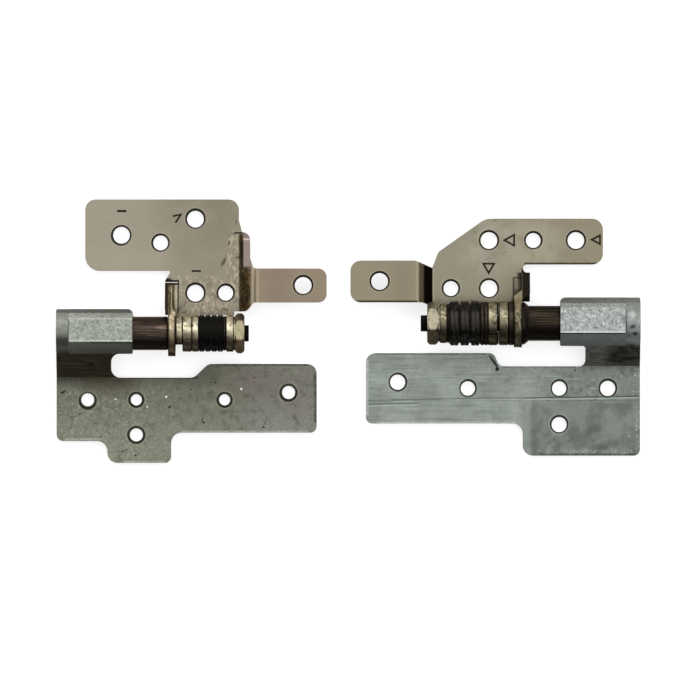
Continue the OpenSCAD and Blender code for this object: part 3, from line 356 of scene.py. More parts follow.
def zinc_left():
    """Die-cast zinc, olive and mottled at the block, greyer at the far end."""
    s = Shader("left_zinc", LEFT, metallic=0.7)
    seed = 1.0
    cloud = s.noise(5, 4, 0.6, warp=0.6, offset=seed)
    patch = s.noise(1.3, 4, 0.65, warp=0.5, offset=seed + 2)
    grain = s.noise(0.3, 3, 0.6, offset=seed + 4)
    fleck = s.noise(0.48, 4, 0.7, warp=0.3, offset=seed + 5)
    low = s.along_v(-9, -21)
    s.colour = s.mix(low, (106, 107, 94), (132, 136, 121))
    far = s.along_u(30, 40)
    s.paint(s.mix(low, (119, 116, 109), (140, 140, 134)), 1, far)
    s.paint((122, 125, 110), 0.5, s.step(cloud, 0.35, 0.65))
    s.paint((80, 80, 70), 0.6, s.step(patch, 0.5, 0.72))
    s.paint((146, 148, 134), 0.4, s.step(patch, 0.44, 0.28))
    s.paint((70, 70, 62), 0.45, s.step(grain, 0.5, 0.7))
    # Cream flecks over the outer corner and the tab
    near = s.math("SUBTRACT", 1.0, s.along_u(12, 30))
    cream = s.times(near, s.along_v(-8.5, -12), s.step(fleck, 0.5, 0.66))
    s.paint((166, 171, 150), 0.6, cream)
    murk = s.times(near, s.step(fleck, 0.42, 0.3))
    s.paint((70, 71, 60), 0.5, murk)
    violet = s.times(s.area(30, 42, -11.5, -6.5, 1.5), s.step(cloud, 0.4, 0.6))
    s.paint((116, 104, 100), 0.5, violet)
    s.patch((88, 88, 77), 0.55, 1.2, (12.5, 30, -9.6, -5))
    s.patch((84, 76, 62), 0.5, 1.6, (5, 15, -11.5, -7.5))
    # Ramp painted dark as shade below the block, darker still on its flat parts, with streaks that
    # run across it and fade out below it
    streak = s.noise(0.7, 3, 0.6, stretch=(5, 0.5, 0.5), warp=0.4, offset=seed + 6)
    ramp = s.times(s.along_u(15, 11.5), s.along_v(-11, -7.2), s.step(s.place[2], *RAMP_LOW))
    ramp = s.times(ramp, s.along_v(-3.0, -3.7))
    flat = s.step(s.normal[2], *FLAT)
    ramp_shade_tone = s.mix(s.step(streak, 0.45, 0.7), s.mix(flat, (56, 51, 39), (40, 36, 27)),
        s.mix(flat, (76, 72, 58), (66, 62, 49)))
    s.paint(ramp_shade_tone, 1, ramp)
    # Block: pale top; upper chamfer painted darker and lower side painted dark, as shade
    cast = s.noise(0.5, 4, 0.7, warp=0.8, offset=seed + 6.5)
    block_top(s, s.mix(s.step(patch, 0.42, 0.7), (164, 170, 159), (146, 150, 138)), cast,
        [(0.5, 0.62, 0.8, (118, 122, 112)), (0.46, 0.36, 0.8, (206, 211, 200))], 0.05)
    block_sides(s, cast, [(170, 172, 165), (134, 136, 129)], (0.75, (66, 68, 64)),
        (0.9, (88, 89, 81), -3.9))
    # Pad's outline: painted highlight along its lower and upper edges, a line of painted shade
    # below the lower one, and painted shade on the barrel's lower side and at the pad's left end
    high = s.step(s.place[2], *BLOCK_HIGH)
    barrel = s.times(s.along_u(2.3, 2.05), high)
    s.paint((128, 130, 122), 0.7, barrel)
    s.paint((68, 69, 63), 0.85, s.along_u(2.3, 2.05), s.along_v(0.2, -1.3), s.along_v(-3.9, -3.6))
    highlight_breaks = s.step(s.noise(0.5, 3, 0.6, offset=seed + 7), 0.36, 0.56)
    s.paint((212, 217, 208), 0.8, s.area(2.4, 14.2, -1.55, -1.25, 0.14), high, highlight_breaks)
    s.paint((206, 210, 200), 0.6, s.area(2.2, 14.2, 2.55, 2.85, 0.1), high, highlight_breaks)
    s.paint((36, 36, 32), 0.8, s.area(6.5, 14.2, -1.82, -1.62, 0.05), high)
    s.patch((46, 46, 41), 0.85, 0.07, (2.2, 2.36, -1.5, 2.7))
    # Painted highlight and shade on the plate's rounded edges
    lit_and_shaded_edges(s, 0.9, (206, 210, 196), (32, 32, 28))
    # Painted shade along the plate's upper edges and far end, painted highlight along its lower
    # edges
    edge_lines(s, 0.75, (42, 42, 37),
        (29.8, 46.4, -6.0, -5.5), (13, 26.2, -8.45, -8.0), (47.65, 48.2, -16.5, -7.3))
    edge_lines(s, 0.5, (192, 197, 182),
        (23, 46.6, -18.4, -18.0), (12.5, 20, -24, -23.6), (1.5, 8.5, -19.8, -19.4))
    # Painted shade and highlight round the holes
    hole_rims(s, LEFT_BASE_HOLES, PLATE_TOP, 0.85, (40, 39, 34), (168, 172, 152), 0)
    pits_and_dots(s,
        pits=[(20.9, -13.7, 0.28), (27.2, -16.5, 0.28), (38.3, -17.4, 0.26),
            (29.4, -9.1, 0.24), (14.6, -22.6, 0.25), (12.2, -21.9, 0.25), (36.6, -8.2, 0.18),
            (4.3, -15.0, 0.2), (24.8, -10.4, 0.18)],
        dots=[(20.3, -11.75, 0.24), (34.2, -10.3, 0.26), (10.9, -12.2, 0.2),
            (16.8, -13.6, 0.18)])
    scuffs_and_shade_marks(s, PIT, {
        PLATE_TOP: [
            (1.2, -10.9, 1.7, 0.6, 28, 0.95), (21.4, -13.5, 1.3, 0.3, -20, 0.6),
            (27.0, -15.9, 0.35, 1.7, -18, 0.7), (38.6, -16.6, 0.4, 1.4, -35, 0.5),
            (12.9, -21.6, 0.9, 0.4, 40, 0.7), (14.9, -22.4, 1.3, 0.35, 38, 0.6),
            (31.0, -12.0, 5.0, 0.5, 0, 0.25), (33.5, -14.5, 6.0, 0.4, 3, 0.2)],
        2.0: [(0.9, -7.7, 1.2, 0.6, 10, 0.6)],
        3.45: [(6.4, -5.7, 1.3, 1.2, 0, 0.95)],
        4.0: [(0.5, -4.6, 1.3, 0.9, -20, 0.95)],
    })
    return finish_zinc(s, seed, patch, (0.45, 0.6))


def zinc_right():
    """Die-cast zinc, bluish grey, with brushed streaks and a darker tab."""
    s = Shader("right_zinc", RIGHT, metallic=0.7)
    seed = 21.0
    cloud = s.noise(4, 4, 0.6, warp=0.6, offset=seed)
    patch = s.noise(1.3, 4, 0.65, warp=0.6, offset=seed + 2)
    grain = s.noise(0.3, 3, 0.6, offset=seed + 4)
    streak = s.noise(0.8, 3, 0.6, stretch=(9, 0.6, 1), warp=0.3, offset=seed + 5)
    s.colour = s.mix(s.step(cloud, 0.36, 0.66), (134, 142, 135), (150, 158, 151))
    near = s.along_u(24, 12)
    s.paint((118, 124, 118), 0.8, near)
    s.paint((116, 124, 118), 0.65, s.step(streak, 0.5, 0.66), s.along_u(20, 30))
    s.paint((172, 180, 173), 0.5, s.step(streak, 0.44, 0.32))
    s.paint((84, 89, 84), 0.7, s.step(patch, 0.5, 0.68), near)
    s.paint((166, 174, 167), 0.45, s.step(patch, 0.42, 0.26))
    s.paint((88, 93, 88), 0.35, s.step(grain, 0.52, 0.74))
    fleck = s.noise(0.6, 4, 0.7, warp=1.2, offset=seed + 3)
    pale_fleck = s.times(s.along_u(30, 18), s.step(fleck, 0.56, 0.68))
    s.paint((186, 192, 186), 0.6, pale_fleck)
    # Tab: darker blotches, a lighter band where it leaves the bar
    tab = s.times(s.along_u(22.6, 20.6), s.along_v(-14.2, -15.2))
    tab_tone = s.mix(s.step(cloud, 0.4, 0.62), (100, 106, 100), (126, 132, 126))
    s.paint(tab_tone, 0.85, tab)
    s.patch((150, 158, 152), 0.5, 0.5, (20.2, 21.4, -25, -15))
    s.patch((92, 97, 92), 0.4, 0.5, (18.9, 20.0, -25, -14.5))
    rim_spots = s.step(s.noise(0.3, 4, 0.7, offset=seed + 9.5), 0.5, 0.64)
    rim_line = s.most(s.area(0.5, 19, -24.1, -23.4, 0.3), s.area(0.15, 0.8, -24, -15, 0.3))
    s.paint((200, 206, 200), 0.6, rim_spots, rim_line)
    # Shallow step lines along the bar: a dark line of painted shade at each step, a paler band
    # below it and a shallow groove in the bump, each (u0, u1, v at u0, v at u1, strength)
    for u0, u1, v0, v1, strength in ((0.3, 21.5, -13.5, -13.85, 0.8),
            (21.5, 46, -13.85, -14.15, 0.4), (41, 50.4, -14.8, -15.05, 0.6)):
        start, end = RIGHT.mm(u0, v0), RIGHT.mm(u1, v1)
        slope = (end.y - start.y) / (end.x - start.x)
        level = s.math("SUBTRACT", s.place[1], s.math("MULTIPLY", s.place[0], slope))
        level = s.math("SUBTRACT", level, start.y - start.x * slope)
        reach = s.band(0, end.x, start.x, 0.5)
        dark = s.times(s.step(level, -0.16, -0.04), s.step(level, 0.16, 0.04), reach)
        s.paint((176, 184, 178), strength * 0.7,
            s.step(level, -0.5, -0.3), s.step(level, -0.1, -0.2), reach)
        s.paint((62, 66, 62), strength, dark)
        s.bump(dark, -0.04)
    # Neck and ramp painted dark as shade below the block, smudged, darker on their flat parts and
    # darkest towards the outer end
    smudge = s.noise(1.1, 4, 0.65, stretch=(1.6, 0.7, 1), warp=0.8, offset=seed + 6)
    ramp = s.times(s.along_u(13, 10.5), s.along_v(-9.4, -6.6), s.step(s.place[2], *RAMP_LOW))
    ramp = s.times(ramp, s.along_v(-3.6, -4.2))
    flat = s.step(s.normal[2], *FLAT)
    ramp_shade_tone = s.mix(s.step(smudge, 0.42, 0.66), s.mix(flat, (112, 114, 110), (78, 80, 77)),
        s.mix(flat, (78, 78, 72), (54, 54, 49)))
    smudge_and_shade = s.mix(s.step(smudge, 0.4, 0.6), (66, 64, 58), (28, 25, 20))
    ramp_shade_tone = s.over(ramp_shade_tone, smudge_and_shade, 0.85, s.along_u(7.5, 4.5))
    s.paint(ramp_shade_tone, 1, ramp)
    # Block: silvery top; upper chamfer painted paler as light, lower side painted grey as shade
    cast = s.noise(0.42, 4, 0.7, warp=0.8, offset=seed + 7)
    block_top(s, s.mix(s.step(patch, 0.42, 0.68), (172, 178, 174), (148, 153, 150)), cast,
        [(0.5, 0.6, 0.75, (108, 113, 110)), (0.44, 0.36, 0.85, (232, 236, 233))], 0.06)
    block_sides(s, cast, [(164, 167, 161), (130, 133, 128)], (0.6, (66, 68, 66)),
        (0.85, (106, 111, 108), -4.3))
    high = s.step(s.place[2], *BLOCK_HIGH)
    barrel = s.times(s.along_u(2.75, 2.5), high)
    s.paint((122, 127, 123), 0.65, barrel)
    # Painted highlight on the barrel's top and along the pad's lower edge, lines of painted shade
    # below that edge and at the pad's end
    s.paint((208, 214, 210), 0.4, s.spot(RIGHT.mm(1.5, 1.5, 8.0), 1.2, 0.9, 0.8))
    s.paint((216, 222, 219), 0.7, s.area(2.8, 19, -1.7, -1.45, 0.08), high)
    s.paint((34, 35, 33), 0.85, s.area(2.8, 19, -2.0, -1.78, 0.06), high)
    s.paint((40, 41, 39), 0.85, s.area(2.6, 2.8, -1.8, 2.4, 0.07), high)
    # Painted highlight and shade on the plate's rounded edges
    lit_and_shaded_edges(s, 0.9, (210, 216, 210), (36, 38, 36))
    # Painted shade along some of the plate's edges, painted highlight along others
    edge_lines(s, 0.7, (50, 53, 50),
        (28.5, 49, -5.8, -5.3), (12, 25.5, -8.15, -7.7), (0.3, 18.5, -24.5, -24.1))
    edge_lines(s, 0.5, (198, 205, 198), (23, 48.8, -18.6, -18.15), (50.25, 50.8, -17, -6.8))
    notch = s.smear(27.0, -7.2, PLATE_TOP, 4.4, 0.7, -56, 0.6, 0.35)
    s.paint((26, 27, 25), 0.9, notch)
    # Painted shade and highlight round the holes
    hole_rims(s, RIGHT_BASE_HOLES, PLATE_TOP, 0.9, (26, 27, 25), (184, 190, 182), 0.12)
    pits_and_dots(s,
        pits=[(26.4, -8.5, 0.5), (5.8, -6.5, 0.2), (12.0, -8.7, 0.18), (15.9, -21.4, 0.25)],
        dots=[(13.6, -21.2, 0.2), (2.0, -20.9, 0.22), (1.6, -23.6, 0.2), (6.4, -16.9, 0.15),
            (10.5, -15.8, 0.15), (4.4, -11.9, 0.15)])
    scuffs_and_shade_marks(s, (46, 47, 43), {
        PLATE_TOP: [
            (17.0, -22.2, 1.5, 0.4, 62, 0.5), (12.8, -21.6, 2.2, 0.5, 50, 0.4),
            (8.6, -19.8, 4.5, 2.6, 12, 0.3), (7.6, -23.0, 6.0, 1.6, 0, 0.25),
            (24.5, -10.5, 3.0, 0.5, 42, 0.3), (26.5, -9.2, 2.6, 0.3, -40, 0.3)],
        # Above the plate: painted shade on the neck and on the barrel's lower side
        2.6: [(3.0, -5.6, 2.6, 1.4, 12, 0.85)],
        5.0: [(1.6, -4.2, 1.6, 1.2, 0, 0.7)],
        7.0: [(2.2, -2.3, 0.9, 0.6, 0, 0.8)],
        7.6: [(1.0, -1.9, 1.3, 1.0, 0, 0.9)],
        8.0: [(1.5, -0.6, 1.6, 1.0, 10, 0.85)],
    })
    return finish_zinc(s, seed, patch, (0.42, 0.58))


def sheet_base(s, seed, speckle_and_shade_tone):
    """Rolling grain and fine speckle, and sloping faces such as cut edges and bends painted dark as
    shade.
    """
    grain = s.noise(0.24, 3, 0.6, offset=seed + 3)
    s.paint(speckle_and_shade_tone, 0.16, s.step(grain, 0.5, 0.75))
    rolled = s.noise(0.35, 2, 0.5, stretch=(12, 0.5, 1), offset=seed + 4)
    s.paint(speckle_and_shade_tone, 0.1, s.step(rolled, 0.55, 0.8))
    # Faces that slope away from flat painted dark as shade
    s.paint(speckle_and_shade_tone, 0.85, s.step(s.normal[2], 0.93, 0.55))


def sheet_rims(s, holes, arm_hole, sheet, dark, pale):
    """Rings of painted shade and halos of painted highlight round a screen bracket's holes, on the
    sheet and on its raised arm.
    """
    hole_rims(s, holes, sheet, 0.85, dark, pale, 0.1)
    hole_rims(s, arm_hole, sheet + JOGGLE_RISE, 0.85, dark, pale, 0.1)


def finish_sheet(s, seed, cloud, *shaded_bends):
    """Rolling marks in the bump, and a roughness that rises in the bends painted as shade."""
    s.bump(s.noise(0.5, 2, 0.5, stretch=(6, 0.35, 1), offset=seed + 6), 0.005)
    s.bump(s.noise(0.3, 3, 0.6, offset=seed + 5), 0.006)
    dull = s.times(s.most(*shaded_bends), 0.85)
    return s.finish(s.most(s.step(cloud, 0.3, 0.7, 0.32, 0.44), dull))


def nickel_left():
    """Nickel-plated sheet: warm grey wing, browner arm, cream mottling at the bends."""
    s = Shader("left_nickel", LEFT, metallic=0.85)
    seed = 11.0
    cloud = s.noise(5, 4, 0.6, warp=0.5, offset=seed)
    blotch = s.noise(0.9, 4, 0.68, stretch=(0.8, 1.3, 1), warp=0.9, offset=seed + 1)
    s.colour = s.mix(s.along_u(10, 30), (160, 154, 137), (146, 138, 121))
    s.paint((136, 129, 112), 0.7, s.along_v(13, 24), s.along_u(14, 30))
    s.patch((166, 161, 143), 0.6, 1.5, (5, 20, 11.5, 15.5))
    s.paint((158, 151, 133), 0.35, s.step(cloud, 0.4, 0.65))
    # Cream and brown mottling round the body's holes and along the flange
    worked = s.most(s.area(21.5, 34, 3.4, 10.5, 1.0), s.area(31.5, 34.2, 3.4, 19, 0.6))
    s.paint((196, 186, 158), 0.85, worked, s.step(blotch, 0.5, 0.64))
    s.paint((84, 73, 54), 0.85, worked, s.step(blotch, 0.44, 0.32))
    # Arm: brown middle; beside the joggle, pale lines of painted highlight on the bend and a dark
    # line of painted shade between them
    arm = s.along_u(35.6, 36.2)
    s.paint((147, 134, 114), 0.9, arm)
    tint = s.area(38.5, 43, 3, 14, 1.8)
    s.paint((136, 121, 110), 0.5, tint)
    s.patch((186, 175, 148), 0.6, 0.15, (36.05, 36.45, 3, 14))
    s.patch((176, 166, 142), 0.5, 0.2, (37.0, 37.5, 3, 14))
    s.patch((84, 72, 52), 0.7, 0.08, (36.6, 36.85, 3, 14))
    sheet_base(s, seed, (64, 56, 42))
    sheet_rims(s, LEFT_SCREEN_HOLES, LEFT_ARM_HOLE, LEFT_SHEET, (34, 29, 21), (184, 178, 158))
    # Bend of the flange: a valley painted dark as shade, then the sheared edge with a pinkish cast;
    # below, the joggle's slope painted dark brown as shade, with glints
    glint = s.step(blotch, 0.44, 0.6)
    valley_shade = s.area(33.75, 34.55, 4, 18.4, 0.15)
    s.paint(s.mix(glint, (58, 48, 33), (104, 90, 64)), 0.9, valley_shade)
    s.patch((152, 134, 130), 0.75, 0.2, (34.55, 36.0, 11.9, 18.9))
    slope = s.area(34.4, 35.9, 2, 11.9, 0.25)
    s.paint(s.mix(glint, (84, 66, 44), (152, 126, 86)), 0.9, slope)
    # Ear: bright above, painted browner below and darkest at its lower end as shade; its flanks,
    # the bend into the body and the relief slot painted dark as shade
    ear = s.area(20.5, 22.4, -6, 3.6, 0.2)
    ear_tone = s.mix(s.step(blotch, 0.42, 0.62), (180, 170, 142), (118, 104, 79))
    ear_tone = s.mix(s.along_v(0.8, -1.6), ear_tone, (98, 80, 62))
    s.paint(ear_tone, 0.85, ear)
    s.patch((46, 36, 27), 0.8, 0.2, (20.5, 22.4, -6, -3.6))
    flank_shade = s.most(s.area(20.3, 20.95, -6, 3.6, 0.1), s.area(21.8, 22.3, -6, 3.6, 0.1))
    s.paint((34, 27, 20), 0.85, flank_shade)
    bend_shade = s.area(19.6, 21.25, 3.4, 10.2, 0.2)
    s.paint((62, 50, 39), 0.9, bend_shade)
    fold_tone = s.mix(glint, (92, 80, 58), (150, 138, 108))
    s.patch(fold_tone, 0.75, 0.15, (20.7, 22.0, 3.4, 9.4))
    s.patch((178, 168, 142), 0.5, 0.15, (21.7, 22.3, 3.4, 9.4))
    relief_slot_shade = s.area(19.4, 22.7, 8.95, 9.9, 0.05)
    s.paint((46, 38, 28), 0.9, relief_slot_shade)
    # Painted shade on the fold's outer edge, and a dark line of painted shade where the bend
    # starts, with a shallow groove in the bump
    s.patch((44, 35, 27), 0.8, 0.12, (20.0, 20.6, 3.4, 10.2))
    bend_start_shade = s.most(s.area(22.38, 22.6, 3.8, 9.6, 0.08), s.area(20.95, 22.6, 9.42, 9.64, 0.08))
    s.paint((56, 47, 34), 0.85, bend_start_shade)
    s.bump(bend_start_shade, -0.03)
    scuffs_and_shade_marks(s, (66, 58, 44), {LEFT_SHEET: [
        (30.9, 13.2, 2.6, 0.9, 62, 0.75), (31.9, 16.7, 1.9, 0.7, 70, 0.6),
        (32.6, 18.4, 1.5, 0.5, -10, 0.5), (29.4, 7.0, 1.6, 0.4, -40, 0.5),
        (32.9, 9.4, 1.3, 0.5, 60, 0.5), (33.2, 20.6, 1.6, 0.5, 80, 0.45),
        (23.6, 3.9, 1.6, 0.7, 10, 0.6), (31.4, 4.4, 2.2, 0.6, -12, 0.55)]})
    s.bump(s.times(worked, blotch), 0.03)
    return finish_sheet(s, seed, cloud, bend_shade, valley_shade, relief_slot_shade)


def nickel_right():
    """Nickel-plated sheet: even warm grey with speckle, browner arm, dark bends."""
    s = Shader("right_nickel", RIGHT, metallic=0.85)
    seed = 31.0
    cloud = s.noise(4, 4, 0.6, warp=0.5, offset=seed)
    speckle = s.noise(0.42, 4, 0.7, warp=0.6, offset=seed + 1)
    s.colour = s.mix(s.along_u(14, 34), (144, 136, 116), (147, 142, 124))
    pale = s.area(15, 33, 10, 19, 3.0)
    s.paint((172, 168, 150), 0.5, pale, s.step(cloud, 0.35, 0.6))
    s.paint((176, 170, 150), 0.4, s.step(speckle, 0.52, 0.72))
    s.paint((112, 104, 86), 0.4, s.step(speckle, 0.4, 0.28))
    edge = s.along_v(6.2, 3.9)
    s.paint((120, 110, 88), 0.5, edge, s.step(speckle, 0.45, 0.6))
    arm = s.along_u(40.3, 41.2)
    s.paint((148, 139, 117), 0.9, arm)
    tint = s.area(42.0, 46.0, 3, 12, 1.8)
    s.paint((138, 124, 108), 0.5, tint)
    sheet_base(s, seed, (58, 51, 38))
    sheet_rims(s, RIGHT_SCREEN_HOLES, RIGHT_ARM_HOLE, RIGHT_SHEET, (30, 26, 19), (186, 180, 160))
    # Joggle: slope painted nearly black as shade, the olive strip beside it painted as shade on the
    # bend, then a pale line of painted highlight along the bend on the arm
    slope = s.area(38.4, 40.05, 2, 12.5, 0.12)
    s.paint((20, 16, 10), 1, slope)
    s.patch((62, 53, 32), 0.92, 0.12, (40.05, 40.95, 2, 12.5))
    s.patch((182, 174, 150), 0.3, 0.2, (41.1, 41.5, 2, 12.5))
    # Ear with its chipped bright edge, painted darker as shade below and on its sloping top; its
    # flanks and the bend into the body painted dark as shade
    ear = s.area(21.5, 23.8, -6, 4.6, 0.2)
    chips = s.noise(0.6, 4, 0.7, stretch=(0.6, 1.4, 1), warp=0.8, offset=seed + 7)
    ear_tone = s.mix(s.step(chips, 0.44, 0.6), (58, 50, 36), (142, 134, 108))
    ear_tone = s.over(ear_tone, (66, 58, 43), 0.5, s.along_v(-0.5, -3.5))
    ear_tone = s.over(ear_tone, (92, 84, 64), 0.6, s.along_v(1.6, 2.6))
    s.paint(ear_tone, 0.92, ear)
    flank_shade = s.most(s.area(21.6, 22.2, -6, 4.2, 0.08), s.area(23.1, 23.6, -6, 4.2, 0.08))
    s.paint((28, 23, 16), 0.85, flank_shade)
    bend_shade = s.area(20.0, 21.9, 3.4, 10.2, 0.15)
    s.paint((30, 24, 16), 0.95, bend_shade)
    s.patch((140, 132, 106), 0.45, 0.2, (22.0, 22.9, 6.0, 8.0))
    s.patch((88, 80, 60), 0.8, 0.2, (21.9, 23.2, 3.6, 6.3))
    # Painted shade along the lower cut edges of the wing and the arm
    lower_edge_shade = s.most(s.area(7.2, 21.4, 10.6, 11.25, 0.06), s.area(41.2, 53.0, 3.6, 4.25, 0.06))
    s.paint((36, 31, 22), 0.85, lower_edge_shade)
    # Dark line of painted shade where the bend starts, with a shallow groove in the bump
    bend_start_shade = s.most(s.area(23.27, 23.5, 3.9, 8.5, 0.08), s.area(21.85, 23.5, 8.32, 8.54, 0.08))
    s.paint((56, 47, 34), 0.85, bend_start_shade)
    s.bump(bend_start_shade, -0.03)
    scuffs_and_shade_marks(s, (70, 62, 46), {RIGHT_SHEET: [
        (26.9, 19.0, 1.4, 0.4, 40, 0.5), (28.2, 11.9, 2.4, 0.3, 20, 0.35),
        (31.0, 4.2, 2.0, 0.6, 0, 0.4), (25.0, 13.2, 1.2, 0.5, 30, 0.25),
        (37.2, 4.2, 1.6, 0.8, 10, 0.35), (30.6, 16.9, 1.0, 0.5, -30, 0.3)]})
    return finish_sheet(s, seed, cloud, bend_shade, slope)


# Where one washer of a stack meets the next (u), painted dark as shade this far to each side (mm)
GAP_REACH = 0.11
GAPS = {
    "left": (22.1, 23.35, 25.1, 26.35, 31.41, 32.81),
    "right": (23.4, 24.4, 26.15, 26.42, 28.17, 29.57, 35.76, 37.11),
}
GAP_SHADE = (16, 13, 10)


def turned(hinge, kind, light, dark, lower_shade_tone, gloss, seed, metallic=0.9):
    """Turned steel: rings of tool marks, a lower half painted darker as shade, and painted shade in
    the gaps between washers.
    """
    s = Shader(hinge.side + kind, hinge, metallic=metallic)
    ring = s.noise(0.22, 2, 0.5, stretch=(0.5, 8, 8), offset=seed)
    dirt = s.noise(0.9, 4, 0.65, warp=0.6, offset=seed + 2)
    s.colour = s.mix(s.step(dirt, 0.42, 0.68), light, dark)
    s.paint(dark, 0.35, s.step(ring, 0.5, 0.75))
    # Lower half painted darker as shade
    s.paint(lower_shade_tone, 0.9, s.along_v(1.0, -1.4))
    # Painted shade in the gaps between washers
    for u in GAPS[hinge.side]:
        s.patch(GAP_SHADE, 0.85, 0.06, (u - GAP_REACH, u + GAP_REACH, -5, 5))
    s.bump(ring, 0.012)
    s.bump(dirt, 0.012)
    return s.finish(s.step(dirt, 0.3, 0.7, gloss, gloss + 0.18))


def shaft_brown(hinge, tone, shine, deep):
    """Oiled dark steel with lengthwise streaks, painted nearly black along its lower side as shade.
    """
    s = Shader(hinge.side + "_shaft_brown", hinge, metallic=0.8)
    streak = s.noise(0.45, 3, 0.6, stretch=(14, 0.6, 0.6), offset=3.0)
    rub = s.noise(1.8, 4, 0.65, warp=0.6, offset=7.0)
    s.colour = s.mix(s.step(streak, 0.5, 0.68), tone, shine)
    s.paint(deep, 0.6, s.step(rub, 0.48, 0.75))
    # Lower side painted dark as shade
    s.paint(deep, 0.8, s.along_v(0.2, -1.6))
    s.paint((12, 11, 10), 1, s.along_u(30, 32))
    s.bump(streak, 0.012)
    s.bump(rub, 0.01)
    return s.finish(s.step(rub, 0.3, 0.7, 0.3, 0.46))


def spring_black(hinge, tone, rubbed_and_highlight):
    """Blackened spring steel with an oily half gloss, rubbed patches, and a band of painted
    highlight at mid height on the rims.
    """
    s = Shader(hinge.side + "_spring_black", hinge, metallic=0.5, specular=0.15)
    film = s.noise(0.8, 3, 0.6, warp=0.4, offset=5.0)
    s.colour = s.mix(s.step(film, 0.45, 0.75), tone, rubbed_and_highlight)
    # Band of painted highlight across the rims
    crest = s.times(s.along_v(-1.6, 0.2), s.along_v(2.8, 1.4))
    s.paint(rubbed_and_highlight, 0.7, crest)
    s.bump(s.noise(0.25, 2, 0.5, stretch=(0.5, 6, 6), offset=1.0), 0.01)
    return s.finish(s.step(film, 0.3, 0.7, 0.32, 0.5))


def nut(hinge, kind, seed, bright, worn, shades):
    """Plated nut whose facets are painted in tones of light and shade, each shade (v_from, v_to,
    amount, tone).
    """
    s = Shader(hinge.side + kind, hinge, metallic=0.9)
    dirt = s.noise(0.8, 4, 0.65, warp=0.5, offset=seed)
    s.colour = s.mix(s.step(dirt, 0.44, 0.68), bright, worn)
    for v_from, v_to, amount, tone in shades:
        s.paint(tone, amount, s.along_v(v_from, v_to))
    s.bump(s.noise(0.3, 3, 0.6, offset=seed + 1), 0.012)
    return s.finish(s.step(dirt, 0.3, 0.7, 0.28, 0.44))


ZINC = {"left": zinc_left(), "right": zinc_right()}
NICKEL = {"left": nickel_left(), "right": nickel_right()}
SHAFT = {
    "left": shaft_brown(LEFT, (56, 46, 40), (104, 90, 80), (22, 17, 14)),
    "right": shaft_brown(RIGHT, (34, 29, 24), (66, 56, 44), (12, 11, 8)),
}
NUT = {
    # Gold-grey facets; the back one painted brownish violet and the front one brown, as shade
    "left": nut(LEFT, "_nut_bright", 9.0, (170, 160, 131), (138, 126, 96),
        [(2.1, 2.6, 0.85, (112, 94, 90)), (-0.9, -1.4, 0.9, (66, 54, 40))]),
    # Dull grey facet above; the one below painted dark olive as shade
    "right": nut(RIGHT, "_nut_dull", 12.0, (164, 157, 135), (112, 104, 84),
        [(-0.8, -1.3, 0.9, (50, 44, 31))]),
}
SPRING = {
    "left": spring_black(LEFT, (8, 8, 7), (20, 18, 16)),
    "right": spring_black(RIGHT, (12, 11, 10), (60, 57, 52)),
}
WASHER = {
    "left": turned(LEFT, "_washer_bright", (206, 197, 170), (112, 101, 80), (62, 49, 39),
        0.28, 2.0),
    "right": turned(RIGHT, "_washer_bright", (150, 142, 118), (72, 65, 50), (52, 45, 34),
        0.28, 3.0),
}
DARK_WASHER = {
    hinge.side: turned(hinge, "_washer_dark", (62, 55, 46), (34, 29, 24), (28, 23, 19),
        0.32, 15.0, 0.8)
    for hinge in (LEFT, RIGHT)
}

# Materials by what a node's name holds, and the radius of the rounded edges (mm)
FINISHES = (
    ("base_bracket", ZINC, 0.16), ("screen_bracket", NICKEL, 0.1), ("shaft", SHAFT, 0.05),
    ("disc_spring", SPRING, 0.05), ("nut", NUT, 0.07), ("dark_washer", DARK_WASHER, 0.05),
    ("thin_washer", DARK_WASHER, 0.05), ("ear_washer", DARK_WASHER, 0.05), ("", WASHER, 0.06),
)
WELD_REACH = 0.002
FLAT_ANGLE = 1.0
BEVEL_ANGLE = 32
BEVEL_SEGMENTS = 2

for name, node in NODES.items():
    by_side, edge = next((by_side, edge) for kind, by_side, edge in FINISHES if kind in name)
    for material_slot in node.material_slots:
        material_slot.material = by_side[name.split("_")[0]]
    weld = node.modifiers.new("weld", "WELD")
    weld.merge_threshold = WELD_REACH * MM
    flat = node.modifiers.new("flat", "DECIMATE")
    flat.decimate_type = "DISSOLVE"
    flat.angle_limit = math.radians(FLAT_ANGLE)
    bevel = node.modifiers.new("edge", "BEVEL")
    bevel.width = edge * MM
    bevel.segments = BEVEL_SEGMENTS
    bevel.limit_method = "ANGLE"
    bevel.angle_limit = math.radians(BEVEL_ANGLE)
    bevel.harden_normals = True


# Stamped marks on the screen brackets

def mark_material():
    s = Shader("stamped_mark", LEFT, metallic=0.5)
    s.colour = s.mix(s.step(s.noise(0.6, 3, 0.6, offset=4.0), 0.4, 0.7), (30, 25, 18), (52, 44, 32))
    s.bump(s.noise(0.2, 2, 0.5, offset=6.0), 0.01)
    return s.finish(0.6)


MARK = mark_material()
MARK_PROUD = 0.012
MARK_TOP = 0.6
MITRE_LIMIT = 0.45


def new_piece(name, mesh, material, body):
    """Puts a mesh in the scene as a piece that rides on a body."""
    bmesh.ops.recalc_face_normals(mesh, faces=mesh.faces)
    data = bpy.data.meshes.new(name)
    mesh.to_mesh(data)
    mesh.free()
    data.materials.append(material)
    piece = bpy.data.objects.new(name, data)
    bpy.context.scene.collection.objects.link(piece)
    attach(piece, body)
    return piece


